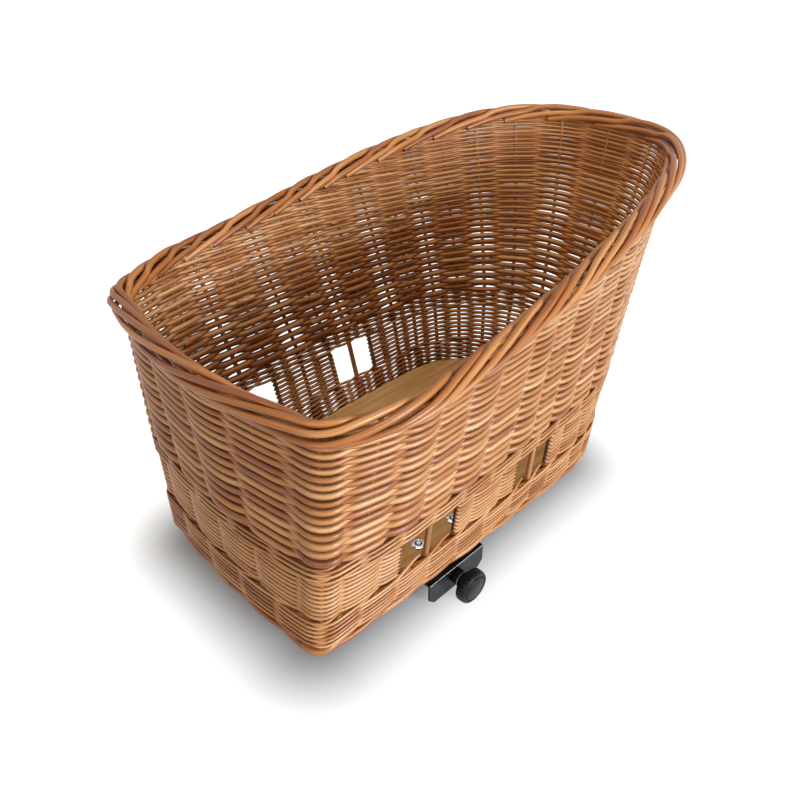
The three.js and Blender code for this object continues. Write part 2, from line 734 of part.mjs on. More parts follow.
// Adapter housing: a moulded channel with a flat ridge, open towards the board
function buildHousing() {
  const profile = (width) => {
    const w = width / 2;
    const r = RIDGE_WIDTH / 2;
    const t = HOUSING_WALL;
    const b = HOUSING_BEVEL;
    const top = UNDER_BOARD_Z;
    const low = RIDGE_HEIGHT;
    const right = [[r, 0], [r + low, low], [w - b, low], [w, low + b], [w, top],
      [w - t, top], [w - t, low + b + t], [w - b - t, low + t]];
    const left = right.map(([x, z]) => [-x, z]).reverse();
    return [...right, ...left];
  };
  const near = profile(HOUSING_NEAR_WIDTH);
  const far = profile(HOUSING_FAR_WIDTH);
  const cap = THREE.ShapeUtils.triangulateShape(near.map(([x, z]) => new THREE.Vector2(x, z)), []);
  const ring = (points, y) => points.map(([x, z]) => new THREE.Vector3(x, y, z));
  const rings = [ring(far, HOUSING_FAR_Y), ring(near, HOUSING_NEAR_Y)];
  addPart('adapter_housing', loft(rings, false, cap), 'blackPlastic');
}

function rectangle(x0, x1, y0, y1) {
  return [[x0, y0], [x1, y0], [x1, y1], [x0, y1]].map(([x, y]) => new THREE.Vector2(x, y));
}

// End cap on the far end, with a slot that holds the fixed hook
function buildCapAndHook() {
  const w = CAP_WIDTH / 2;
  const bottom = UNDER_BOARD_Z - CAP_THICKNESS;
  const shape = new THREE.Shape(rectangle(-w, w, CAP_Y, CAP_Y + CAP_LENGTH));
  const legY = CAP_Y + HOOK_LEG_START;
  const h = HOOK_WIDTH / 2;
  const slot = rectangle(-h - GAP, h + GAP, legY - GAP, legY + HOOK_LEG + GAP);
  shape.holes = farScrews.map((p) => circleHole(p.x, p.y, SCREW + SCREW_CLEARANCE));
  shape.holes.push(new THREE.Path(slot.reverse()));
  addPart('adapter_end_cap', plateUp(shape, bottom, UNDER_BOARD_Z), 'blackPlastic');

  const lipTop = -RAIL_GAP;
  const lipBottom = lipTop - HOOK_THICKNESS;
  const hook = join([
    block(-h, h, legY, legY + HOOK_LEG, lipBottom, UNDER_BOARD_Z),
    block(-h, h, legY - HOOK_LIP, legY + HOOK_LEG + HOOK_TAB, lipBottom, lipTop),
  ]);
  addPart('fixed_hook', hook, 'blackPlastic');
}

// Block on the near end, grooved for the jaw's key
function buildNearBlock() {
  const w = BLOCK_WIDTH / 2;
  const shape = new THREE.Shape(rectangle(-w, w, BLOCK_END_Y, BLOCK_Y));
  shape.holes = nearScrews.map((p) => circleHole(p.x, p.y, SCREW + SCREW_CLEARANCE));
  const body = plateUp(shape, GAP, UNDER_BOARD_Z);
  const k = KEY_HEAD / 2 + KEY_CLEARANCE;
  const grooveTop = GAP + KEY_HEAD_HEIGHT + 2 * KEY_CLEARANCE;
  const groove = block(-k, k, BLOCK_END_Y - TOOL_PAST, BLOCK_Y + TOOL_PAST, GAP - TOOL_PAST, grooveTop);
  addPart('adapter_end_block', cut(body, [groove]), 'blackPlastic');
}

// Sheet bracket: a flange under the block, bent down into the plate that the rod passes
function buildBracket() {
  const w = BRACKET_WIDTH / 2;
  const start = HOUSING_NEAR_Y - BRACKET_START;
  const n = KEY_NECK / 2 + KEY_CLEARANCE;
  const slotEnd = KEY_END_Y - JAW_TRAVEL - KEY_CLEARANCE - GAP;
  const outline = [[-w, PLATE_Y], [w, PLATE_Y], [w, start], [n, start],
    [n, slotEnd], [-n, slotEnd], [-n, start], [-w, start]];
  const flangeShape = new THREE.Shape(outline.map(([x, y]) => new THREE.Vector2(x, y)));
  flangeShape.holes = nearScrews.map((p) => circleHole(p.x, p.y, SCREW + SCREW_CLEARANCE));
  const flange = plateUp(flangeShape, -SHEET, 0);
  const c = PLATE_CHAMFER;
  const low = -PLATE_HEIGHT;
  const face = [[-w + c, low], [w - c, low], [w, low + c], [w, 0], [-w, 0], [-w, low + c]];
  const plateShape = new THREE.Shape(face.map(([x, z]) => new THREE.Vector2(x, z)));
  plateShape.holes = [circleHole(0, -ROD_DROP, BUSH_SPIGOT + 2 * GAP)];
  const plate = plateUp(plateShape, 0, SHEET).rotateX(Math.PI / 2).translate(0, PLATE_INNER_Y, 0);
  addPart('bracket_plate', join([flange, plate]), 'blackSteel');
}

// Sliding jaw: a bar with a boss for the rod, two hooked ears and a key in the bracket's slot
function buildJaw() {
  const w = JAW_WIDTH / 2;
  const top = -JAW_DROP;
  const earIn = w - JAW_EAR_WIDTH;
  const earLow = top - JAW_EAR_HEIGHT;
  const boss = JAW_BOSS_WIDTH / 2;
  const bossLow = -ROD_DROP - boss;
  const keyStart = KEY_END_Y + KEY_LENGTH;
  const headLow = GAP + KEY_CLEARANCE;
  const body = join([
    block(-w, w, JAW_END_Y, JAW_Y, top - JAW_BAR_HEIGHT, top),
    block(-boss, boss, JAW_END_Y, JAW_Y, bossLow, top),
    block(-w, -earIn, JAW_END_Y, JAW_Y, earLow, top),
    block(earIn, w, JAW_END_Y, JAW_Y, earLow, top),
    block(-w, -earIn, JAW_END_Y, JAW_Y + JAW_LIP, earLow, earLow + JAW_LIP_HEIGHT),
    block(earIn, w, JAW_END_Y, JAW_Y + JAW_LIP, earLow, earLow + JAW_LIP_HEIGHT),
    block(-KEY_NECK / 2, KEY_NECK / 2, KEY_END_Y, keyStart, top - TOOL_PAST, headLow + TOOL_PAST),
    block(-KEY_HEAD / 2, KEY_HEAD / 2, KEY_END_Y, keyStart, headLow, headLow + KEY_HEAD_HEIGHT),
  ]);
  const depth = ROD_IN_JAW + GAP;
  const hole = new THREE.CylinderGeometry(BORE / 2, BORE / 2, depth + TOOL_PAST, ROUND_SIDES);
  hole.translate(0, JAW_END_Y + (depth - TOOL_PAST) / 2, -ROD_DROP);
  addPart('sliding_jaw', cut(body, [hole]), 'blackPlastic');
}

// Pull rod from the jaw through the bush to the knob
function buildRodBushKnob() {
  const rodStart = JAW_END_Y + ROD_IN_JAW;
  const rod = [[0, ROD_END_Y], [ROD / 2, ROD_END_Y], [ROD / 2, rodStart], [0, rodStart]];
  addPart('pull_rod', turnedOnRod(rod, ROUND_SIDES), 'zinc');

  const bore = BORE / 2;
  const bushEndY = BUSH_Y - BUSH_LENGTH;
  const bush = [[bore, bushEndY], [BUSH_FLANGE / 2, bushEndY], [BUSH_FLANGE / 2, BUSH_Y],
    [BUSH_SPIGOT / 2, BUSH_Y], [BUSH_SPIGOT / 2, PLATE_INNER_Y], [bore, PLATE_INNER_Y], [bore, bushEndY]];
  addPart('rod_bush', turnedOnRod(bush, ROUND_SIDES), 'blackPlastic');

  const disc = KNOB / 2;
  const discY = KNOB_Y - KNOB_HUB_LENGTH;
  const hub = KNOB_HUB / 2;
  const boreEndY = ROD_END_Y - GAP;
  const knob = [[0, KNOB_FACE_Y], [disc - 2 * KNOB_EDGE, KNOB_FACE_Y], [disc, KNOB_FACE_Y + KNOB_EDGE],
    [disc, discY - KNOB_EDGE], [disc - KNOB_EDGE, discY], [hub, discY], [hub, KNOB_Y],
    [bore, KNOB_Y], [bore, boreEndY], [0, boreEndY]];
  addPart('knob', turnedOnRod(knob, KNOB_SIDES), 'blackPlastic');
}

// One unbroken wire: straight ends as long as the wire is thick, and turns between them
function coilPath(start, end) {
  const straight = Math.sign(end - start) * SPRING_WIRE;
  const steps = SPRING_TURNS * COIL_STEPS;
  const points = [new THREE.Vector3(SPRING_RADIUS, start, 0)];
  for (let i = 0; i <= steps; i += 1) {
    const a = (2 * Math.PI * i) / COIL_STEPS;
    const y = start + straight + ((end - start - 2 * straight) * i) / steps;
    points.push(new THREE.Vector3(SPRING_RADIUS * Math.cos(a), y, SPRING_RADIUS * Math.sin(a)));
  }
  points.push(new THREE.Vector3(SPRING_RADIUS, end, 0));
  points.forEach((p) => p.setZ(p.z - ROD_DROP));
  return points;
}

// Mitred tube of equal sides along a list of points
function wireAlong(points, diameter, sides) {
  const ways = points.slice(1).map((p, i) => p.clone().sub(points[i]).normalize());
  let u = new THREE.Vector3(0, 0, 1).cross(ways[0]).normalize();
  const rings = [];
  points.forEach((p, i) => {
    const before = ways[Math.max(i - 1, 0)];
    const after = ways[Math.min(i, ways.length - 1)];
    const v = before.clone().cross(u);
    const plane = before.clone().add(after).normalize();
    rings.push(Array.from({ length: sides }, (unused, k) => {
      const a = (2 * Math.PI * k) / sides;
      const side = u.clone().multiplyScalar(Math.cos(a)).addScaledVector(v, Math.sin(a));
      side.multiplyScalar(diameter / 2);
      side.addScaledVector(before, -side.dot(plane) / before.dot(plane));
      return side.add(p);
    }));
    u = u.clone().applyQuaternion(new THREE.Quaternion().setFromUnitVectors(before, after));
  });
  const cap = Array.from({ length: sides - 2 }, (unused, k) => [0, k + 1, k + 2]);
  return loft(rings, false, cap);
}

// Least clear distance between wire that is more than half a turn apart
function leastSelfGap(points, diameter) {
  let least = Infinity;
  const apart = COIL_STEPS / 2 + 1;
  for (let i = 0; i < points.length; i += 1) {
    for (let j = i + apart; j < points.length; j += 1) {
      least = Math.min(least, points[i].distanceTo(points[j]) - diameter);
    }
  }
  return least;
}

function buildSpring() {
  const path = coilPath(JAW_END_Y - GAP, PLATE_INNER_Y + GAP);
  console.log(`spring: least gap to itself ${leastSelfGap(path, SPRING_WIRE).toFixed(2)} mm`);
  addPart('jaw_spring', wireAlong(path, SPRING_WIRE, COIL_SIDES), 'chrome');
}

buildBands();
buildWindowBand();
buildUpperWalls();
buildBorder();
buildBoard();
buildFasteners();
buildHousing();
buildCapAndHook();
buildNearBlock();
buildBracket();
buildJaw();
buildRodBushKnob();
buildSpring();

export default group;
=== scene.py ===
import math
import random

import bpy
import numpy as np
from mathutils import Matrix, Vector


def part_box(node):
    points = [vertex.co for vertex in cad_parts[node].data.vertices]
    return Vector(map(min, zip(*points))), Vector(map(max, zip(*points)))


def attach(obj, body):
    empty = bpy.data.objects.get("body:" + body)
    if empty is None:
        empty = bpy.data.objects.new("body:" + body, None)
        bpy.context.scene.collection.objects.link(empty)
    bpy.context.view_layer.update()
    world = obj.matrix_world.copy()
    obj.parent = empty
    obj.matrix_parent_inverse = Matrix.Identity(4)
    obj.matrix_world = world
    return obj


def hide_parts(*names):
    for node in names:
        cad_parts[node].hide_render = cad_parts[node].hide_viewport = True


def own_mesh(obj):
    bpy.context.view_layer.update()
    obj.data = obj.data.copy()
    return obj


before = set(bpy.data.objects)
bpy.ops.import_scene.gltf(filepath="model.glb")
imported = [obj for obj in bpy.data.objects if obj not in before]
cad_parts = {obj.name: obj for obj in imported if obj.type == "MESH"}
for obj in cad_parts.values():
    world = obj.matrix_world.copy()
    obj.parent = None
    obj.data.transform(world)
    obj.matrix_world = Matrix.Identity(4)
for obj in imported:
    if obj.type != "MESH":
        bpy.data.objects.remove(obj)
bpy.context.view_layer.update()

MM = 0.001

# Plan of the foot and of the rim, in millimetres
FOOT_Z = 4
FOOT = {"front": -187.5, "front_width": 270, "bow": 8, "half_width": 142.4,
        "round_start": 378, "length": 501, "power": 2.7, "corner": 20}
RIM = {"front": -177, "front_width": 313, "bow": 22.5, "half_width": 186,
       "round_start": 96, "length": 606, "power": 2.77, "corner": 15}
RIM_FRONT_Z = 286
RIM_RISE = 76.5
RIM_RISE_LINEAR = 0.31
RIM_RISE_SQUARE = 2.47
STAKE_SWEEP = 0.14

# Heights of the woven bands, in millimetres
BOARD_LOW_Z = 19
SILL_Z = 57.6
HEAD_Z = 112.2
WALE_TOP_Z = 132.8
WINDOW_Z = 84.75

# Stakes are counted round the basket from the front middle, over the knob side to the rear and back.
# The front middle and the rear middle lie between two stakes. Places are x at window height, in millimetres.
STAKE_COUNT = 36
REAR_MIDDLE = 18
CORNER_STAKE = 2.5
SIDE_END_STAKE = 11.5
FRONT_WINDOW = (4.5, 6.5)
REAR_WINDOW = (8.5, 10.5)
STAKE_PLACES = {4.5: -95.3, 5.5: -53.2, 6.5: -11.2, 8.5: 77.2, 9.5: 111.2, 10.5: 144.8, 11.5: 191.4}
STAKE_INSET = 4.2
STAKE = 5.2
WINDOW_STAKE = 6.2

# Above the windows the stakes lean round the basket, and in front the other way, in stakes over a rise
SIDE_LEAN = 0.4
FRONT_LEAN = -0.35
LEAN_START = 1.5
LEAN_EASE = 3
LEAN_RISE = 190


def ease(t):
    t = np.clip(t, 0, 1)
    return t * t * (3 - 2 * t)


# Half of a plan line, from the front middle to the rear middle, as three lines in x and y
def half_line(plan, fine=400):
    half = plan["front_width"] / 2
    y = np.linspace(0, half - plan["corner"], fine)
    front = np.stack([plan["front"] - plan["bow"] * np.cos(np.pi * y / (2 * half)), y], 1)
    x = np.linspace(plan["corner"], plan["round_start"], fine)
    bulge = (plan["half_width"] - half) * np.sin(np.pi / 2 * x / plan["round_start"])
    straight = np.stack([plan["front"] + x, half + bulge], 1)
    a = np.linspace(0, np.pi / 2, fine)[1:]
    reach = plan["length"] - plan["round_start"]
    power = 2 / plan["power"]
    turn_x = plan["front"] + plan["round_start"] + reach * np.sin(a) ** power
    turn_y = plan["half_width"] * np.maximum(np.cos(a), 0) ** power
    side = np.concatenate([straight, np.stack([turn_x, turn_y], 1)])
    t = np.linspace(0, 1, fine)[:, None]
    tip = np.array([plan["front"], half])
    corner = (1 - t) ** 2 * front[-1] + 2 * t * (1 - t) * tip + t ** 2 * side[0]
    return front, corner, side


def length_along(line):
    steps = np.linalg.norm(np.diff(line, axis=0), axis=1)
    return np.concatenate([[0], np.cumsum(steps)])


def at_shares(line, shares):
    lengths = length_along(line)
    wanted = np.clip(shares, 0, 1) * lengths[-1]
    return np.stack([np.interp(wanted, lengths, line[:, k]) for k in range(line.shape[1])], 1)


# Outward normals of a plan line that runs from the front to the rear on the +Y side
def plan_normals(line):
    along = np.gradient(line, axis=0)
    normal = np.stack([-along[:, 1], along[:, 0]], 1)
    return normal / np.linalg.norm(normal, axis=1)[:, None]


# Matching points of the foot line and of the rim line, front middle first, as many in the corner as in front
FRONT_STATIONS = 200
SIDE_STATIONS = 900


def half_stations():
    lines = []
    for plan, swept in ((FOOT, STAKE_SWEEP), (RIM, 0)):
        front, corner, side = half_line(plan)
        shares = np.linspace(0, 1, SIDE_STATIONS + 1)
        ends = np.linspace(0, 1, FRONT_STATIONS + 1)
        parts = [at_shares(front, ends[:-1]), at_shares(corner, ends[:-1]),
                 at_shares(side, shares + swept * np.sin(np.pi * shares))]
        lines.append(np.concatenate(parts))
    return lines


foot_line, rim_line = half_stations()
foot_normals = plan_normals(foot_line)
rim_normals = plan_normals(rim_line)
foot_lengths = length_along(foot_line)
STATIONS = np.arange(len(foot_line))


# Height of the rim's middle line at a place along the basket
def rim_height(x):
    u = np.clip((x - RIM["front"]) / RIM["length"], 0, 1)
    cubic = 1 - RIM_RISE_LINEAR - RIM_RISE_SQUARE
    return RIM_FRONT_Z + RIM_RISE * (RIM_RISE_LINEAR * u + RIM_RISE_SQUARE * u ** 2 + cubic * u ** 3)


rim_z = rim_height(rim_line[:, 0])


# Lengths along the foot of the stakes with known places; the rest stand evenly between them
def known_stakes():
    share = (WINDOW_Z - FOOT_Z) / (rim_z - FOOT_Z)
    x = foot_line[:, 0] + (rim_line[:, 0] - foot_line[:, 0]) * share
    corner_station = FRONT_STATIONS + FRONT_STATIONS // 2
    known = {0: 0.0, CORNER_STAKE: foot_lengths[corner_station], REAR_MIDDLE: foot_lengths[-1]}
    for stake, place in STAKE_PLACES.items():
        station = np.interp(place, x[corner_station:], STATIONS[corner_station:])
        known[stake] = np.interp(station, STATIONS, foot_lengths)
    stakes = sorted(known)
    return np.array(stakes, float), np.array([known[s] for s in stakes])


stake_knots, stake_lengths = known_stakes()


# Stakes from the front middle, the shorter way round
def from_front(s):
    turn = np.mod(s, STAKE_COUNT)
    return np.minimum(turn, STAKE_COUNT - turn)


# Where a stake has got to round the basket at a height
def leaning(s, z):
    lean = FRONT_LEAN + (SIDE_LEAN - FRONT_LEAN) * ease((from_front(s) - LEAN_START) / LEAN_EASE)
    return s + lean * np.maximum(z - WALE_TOP_Z, 0) / LEAN_RISE


# Station on the half line, and the side of the basket: -1 the knob side, 1 the hook side
def station_of(s):
    length = np.interp(from_front(s), stake_knots, stake_lengths)
    side = np.where(np.mod(s, STAKE_COUNT) > REAR_MIDDLE, 1.0, -1.0)
    return np.interp(length, foot_lengths, STATIONS), side


def pick(table, station):
    if table.ndim == 1:
        return np.interp(station, STATIONS, table)
    return np.stack([np.interp(station, STATIONS, table[:, k]) for k in range(2)], -1)


# Points of the wall and their outward directions: s counts stakes, z is height, inset goes inwards
def wall(s, z, inset):
    station, side = station_of(leaning(s, z))
    top = pick(rim_z, station)
    t = ((z - FOOT_Z) / (top - FOOT_Z))[:, None]
    plan = pick(foot_line, station) * (1 - t) + pick(rim_line, station) * t
    normal = pick(foot_normals, station) * (1 - t) + pick(rim_normals, station) * t
    normal = normal / np.linalg.norm(normal, axis=1)[:, None]
    plan = plan - normal * np.reshape(inset, (-1, 1))
    points = np.stack([plan[:, 0], plan[:, 1] * side, z], 1)
    outward = np.stack([normal[:, 0], normal[:, 1] * side, np.zeros(len(side))], 1)
    return points, outward


# Height of the rim where the stake at s, which leans, reaches it
def rim_z_at(s):
    height = pick(rim_z, station_of(s)[0])
    for again in range(3):
        height = pick(rim_z, station_of(leaning(s, height))[0])
    return height


# Distance between neighbouring stakes at a height
def stake_spacing(s, z):
    step = 0.02
    ends, outward = wall(np.array([s - step, s + step]), np.array([z, z], float), np.zeros(2))
    return np.linalg.norm(ends[1] - ends[0]) / (2 * step)


# A piece of the object on its body, in place of the CAD nodes that it stands for; end faces stay flat
def place(mesh, name, material, nodes, slot, body):
    corners = np.zeros(len(mesh.polygons), np.int32)
    mesh.polygons.foreach_get("loop_total", corners)
    mesh.polygons.foreach_set("use_smooth", corners == 4)
    mesh.materials.append(material)
    mesh.update()
    made = bpy.data.objects.new(name, mesh)
    bpy.context.scene.collection.objects.link(made)
    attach(made, body)
    if nodes:
        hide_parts(*nodes)
    return made


# Rods gathered for one piece: oval tubes along paths, with what the grain needs at each point
class Rods:
    def __init__(self):
        self.points = []
        self.faces = []
        self.grain = []
        self.tone = []
        self.height = []
        self.normals = []
        self.count = 0

    def add(self, path, outward, thick, tall, tone, start=0.0, sides=8, part=slice(None)):
        n = len(path)
        along = np.gradient(path, axis=0)
        along /= np.linalg.norm(along, axis=1)[:, None]
        out = outward - along * np.sum(outward * along, axis=1)[:, None]
        out /= np.linalg.norm(out, axis=1)[:, None]
        up = np.cross(along, out)
        a = 2 * np.pi * np.arange(sides) / sides
        thick = np.broadcast_to(np.asarray(thick, float), (n,)) / 2
        tall = np.broadcast_to(np.asarray(tall, float), (n,)) / 2
        across = thick[:, None] * np.cos(a)
        above = tall[:, None] * np.sin(a)
        ring = path[:, None, :] + across[..., None] * out[:, None, :] + above[..., None] * up[:, None, :]
        length = start + length_along(path)
        grain = np.stack([np.broadcast_to(length[:, None], (n, sides)), across, above], -1)[part]
        ring = ring[part]
        round_out = (np.cos(a) / thick[:, None])[..., None] * out[:, None, :]
        normal = (round_out + (np.sin(a) / tall[:, None])[..., None] * up[:, None, :])[part]
        n = len(ring)
        first = self.count + np.arange(n)[:, None] * sides
        k = np.arange(sides)[None, :]
        following = (k + 1) % sides
        near = first[:-1]
        far = first[1:]
        quads = np.stack([near + k, near + following, far + following, far + k], -1).reshape(-1, 4)
        self.faces += quads.tolist()
        self.faces.append(list(range(self.count + sides - 1, self.count - 1, -1)))
        last = self.count + (n - 1) * sides
        self.faces.append(list(range(last, last + sides)))
        self.points.append(ring.reshape(-1, 3))
        self.grain.append(grain.reshape(-1, 3))
        self.tone.append(np.full(n * sides, tone))
        # Height round the section, 1 on top: it places the painted crevice shade
        self.height.append(np.tile(np.sin(a) * np.sign(up[:, 2].mean()), n))
        self.normals.append(normal.reshape(-1, 3) / np.linalg.norm(normal, axis=2).reshape(-1, 1))
        self.count += n * sides

    def piece(self, name, material, nodes=(), slot="willow", body="basket"):
        mesh = bpy.data.meshes.new(name)
        mesh.from_pydata((np.concatenate(self.points) * MM).tolist(), [], self.faces)
        grain = mesh.attributes.new("grain", "FLOAT_VECTOR", "POINT")
        grain.data.foreach_set("vector", np.concatenate(self.grain).ravel())
        tone = mesh.attributes.new("tone", "FLOAT", "POINT")
        tone.data.foreach_set("value", np.concatenate(self.tone))
        height = mesh.attributes.new("height", "FLOAT", "POINT")
        height.data.foreach_set("value", np.concatenate(self.height))
        made = place(mesh, name, material, nodes, slot, body)
        mesh.normals_split_custom_set_from_vertices(np.concatenate(self.normals).tolist())
        return made


# Colours are written as sRGB and turned to linear here
def colour(code):
    parts = [int(code[i:i + 2], 16) / 255 for i in (1, 3, 5)]
    return [p / 12.92 if p <= 0.04045 else ((p + 0.055) / 1.055) ** 2.4 for p in parts] + [1]


# Adds a node: settings are its properties, inputs are values or sockets to link, ramp is its colour stops
def add_node(tree, kind, inputs=None, ramp=None, **settings):
    made = tree.nodes.new(kind)
    for name, value in settings.items():
        setattr(made, name, value)
    for name, value in (inputs or {}).items():
        if isinstance(value, bpy.types.NodeSocket):
            tree.links.new(value, made.inputs[name])
        else:
            made.inputs[name].default_value = value
    if ramp:
        stops = made.color_ramp.elements
        while len(stops) < len(ramp):
            stops.new(0.5)
        for stop, (position, code) in zip(stops, ramp):
            stop.position = position
            stop.color = colour(code)
    return made


def new_material(name):
    material = bpy.data.materials.new(name)
    material.use_nodes = True
    tree = material.node_tree
    return material, tree, tree.nodes["Principled BSDF"]


# Most of a noise pattern lies between these
NOISE_LOW = 0.3
NOISE_HIGH = 0.7

# Patterns in a willow rod: length along it and width across it in millimetres, and detail. Fibres are drawn
# wider than real ones, to show.
ROD_PATTERNS = {"streaks": (38, 1.5, 3.0), "blotches": (95, 20, 2.0), "fibres": (9, 0.5, 2.0),
                "knots": (26, 8.3, 1.0)}


# Peeled willow rod under clear lacquer: satin gloss, streaks along the rod, a few darker knots, and painted
# shade that darkens the rod's underside and its top edge, where the crevices between rows lie in shade
def willow(name, stops, painted_shade_strength, knot="#6A3D1C", crevice_shade_colour="#2E130A", roughness=(0.28, 0.44)):
    tone_share = 0.55
    streak_share = 0.75
    blotch_share = 0.65
    darkest_shade = -0.475
    seed_spread = 173.0
    fibre_relief = 0.25
    material, tree, shader = new_material(name)
    grain = add_node(tree, "ShaderNodeAttribute", attribute_name="grain").outputs["Vector"]
    tone = add_node(tree, "ShaderNodeAttribute", attribute_name="tone").outputs["Fac"]
    seed = add_node(tree, "ShaderNodeMath", {0: tone, 1: seed_spread}, operation="MULTIPLY").outputs[0]
    pattern = {}
    for kind, (length, width, detail) in ROD_PATTERNS.items():
        scale = (1 / length, 1 / width, 1 / width)
        spread = add_node(tree, "ShaderNodeVectorMath", {0: grain, 1: scale}, operation="MULTIPLY")
        noise = add_node(tree, "ShaderNodeTexNoise", {"Vector": spread.outputs[0], "W": seed, "Scale": 1.0,
                                                      "Detail": detail}, noise_dimensions="4D")
        pattern[kind] = noise.outputs["Fac"]
    streaks = pattern["streaks"]
    shade = darkest_shade
    for part, share in ((tone, tone_share), (streaks, streak_share), (pattern["blotches"], blotch_share)):
        shade = add_node(tree, "ShaderNodeMath", {0: part, 1: share, 2: shade},
                         operation="MULTIPLY_ADD").outputs[0]
    wood = add_node(tree, "ShaderNodeValToRGB", {0: shade}, ramp=stops).outputs["Color"]
    marks = add_node(tree, "ShaderNodeMapRange", {"Value": pattern["knots"], "From Min": 0.7, "From Max": 0.8,
                                                  "To Max": 0.7}).outputs["Result"]
    mixed = add_node(tree, "ShaderNodeMix", {0: marks, 6: wood, 7: colour(knot)}, data_type="RGBA").outputs[2]
    # Painted shade: darker under the rod and a little darker along its top, by the height round its section
    height = add_node(tree, "ShaderNodeAttribute", attribute_name="height").outputs["Fac"]
    under = add_node(tree, "ShaderNodeMapRange", {"Value": height, "From Min": 0.2, "From Max": -0.85,
                                                  "To Max": painted_shade_strength}).outputs["Result"]
    over = add_node(tree, "ShaderNodeMapRange", {"Value": height, "From Min": 0.7, "From Max": 1.0,
                                                 "To Max": 0.5 * painted_shade_strength}).outputs["Result"]
    painted_shade_mask = add_node(tree, "ShaderNodeMath", {0: under, 1: over}, operation="ADD").outputs[0]
    painted_shade_mix = add_node(tree, "ShaderNodeMix", {0: painted_shade_mask, 6: mixed, 7: colour(crevice_shade_colour)}, data_type="RGBA")
    tree.links.new(painted_shade_mix.outputs[2], shader.inputs["Base Color"])
    gloss = add_node(tree, "ShaderNodeMapRange", {"Value": streaks, "From Min": NOISE_LOW,
                                                  "From Max": NOISE_HIGH, "To Min": roughness[0],
                                                  "To Max": roughness[1]})
    tree.links.new(gloss.outputs["Result"], shader.inputs["Roughness"])
    relief = add_node(tree, "ShaderNodeBump", {"Height": pattern["fibres"], "Strength": 0.35,
                                               "Distance": fibre_relief * MM})
    tree.links.new(relief.outputs["Normal"], shader.inputs["Normal"])
    return material


WALL_TONES = ((0.0, "#834521"), (0.25, "#AF6B38"), (0.5, "#CA8C53"), (0.75, "#DCA470"), (1.0, "#EDC294"))
BORDER_TONES = ((0.0, "#763C1B"), (0.3, "#A15F2B"), (0.6, "#BB793E"), (1.0, "#D8A067"))
STAKE_TONES = ((0.0, "#7E4826"), (0.4, "#A26A3C"), (0.7, "#B8814F"), (1.0, "#CC9E70"))
# The number after the tones is how strong the painted crevice shade is
wall_willow = willow("willow_weaving_rods", WALL_TONES, 0.96)
border_willow = willow("willow_border_rods", BORDER_TONES, 0.4)
stake_willow = willow("willow_stakes", STAKE_TONES, 0.0)

rng = random.Random(4107)


# Slow wander of a hand-laid rod, a few tenths of a millimetre
def wander(s, size):
    value = np.zeros(len(s))
    for k in range(3):
        rate = rng.uniform(0.4, 1.9)
        value += np.sin(s * rate + rng.uniform(0, 2 * np.pi)) * size / 3
    return value


# How a rod swings from stake to stake, 1 inside and -1 outside: nearly straight past a stake, across between
def swing(s, k):
    steepness = 1.6
    return np.tanh(steepness * np.cos(np.pi * (s - 0.5 + k))) / math.tanh(steepness)


# Upper walls: rows of rods that pass outside one stake and inside the next, each row thinner than the one
# below. They swing wider outside than inside, and widest round every second stake. A rod's end is tucked in.
ROW_STEPS = 10
FRONT_ROW = 5.7
REAR_ROW = 5.3
ROW_THINNING = 0.0145
ROW_EASE_START = 8
ROW_EASE = 6
ROD_TO_ROW = (1.36, 1.54)
TOP_ROW = 44
ROW_INSET = 4.0
ROW_REACH = 0.7
ROW_REACH_INSIDE = 0.42
PROUD = 0.36
PROUD_STAKE = 4.5
UNDER_RIM = 3.0
SHORTEST_ROW = 2
ROD_STAKES = (20, 32)
SHORTEST_ROD = 8
ROD_FLATNESS = 0.94
TAIL = 0.3
TUCK_START = 0.5
TUCK_LENGTH = 0.8
TUCK_DEPTH = 2.6
TUCK_SLACK = 0.25
upper_parts = {
    "front_upper_wall": (-CORNER_STAKE, CORNER_STAKE),
    "knob_side_upper_wall": (CORNER_STAKE, SIDE_END_STAKE),
    "rear_upper_wall": (SIDE_END_STAKE, STAKE_COUNT - SIDE_END_STAKE),
    "hook_side_upper_wall": (STAKE_COUNT - SIDE_END_STAKE, STAKE_COUNT - CORNER_STAKE),
}
upper_edges = [round(low * ROW_STEPS) for low, high in upper_parts.values()]
upper_rods = {name: Rods() for name in upper_parts}


# How tall the lowest row is
def lowest_row(s):
    return FRONT_ROW + (REAR_ROW - FRONT_ROW) * ease((from_front(s) - ROW_EASE_START) / ROW_EASE)


# Height of a row's middle line
def row_middle(k, s):
    return WALE_TOP_Z + lowest_row(s) / ROW_THINNING * (1 - math.exp(-ROW_THINNING * (k + 0.5)))


# How tall a row is
def row_pitch(k, s):
    return lowest_row(s) * math.exp(-ROW_THINNING * (k + 0.5))


# First and last place of the part of a row below the rim: the same for a whole round, None for no row
def row_span(k):
    s = np.arange(STAKE_COUNT * ROW_STEPS) / ROW_STEPS
    blocked = s[row_middle(k, s) > rim_z_at(s) - UNDER_RIM]
    if len(blocked) == 0:
        return 0.0, 0.0
    before = blocked[blocked < REAR_MIDDLE]
    after = blocked[blocked > REAR_MIDDLE]
    if len(before) == 0 or len(after) == 0 or after.min() - before.max() < SHORTEST_ROW:
        return None
    return before.max(), after.min()


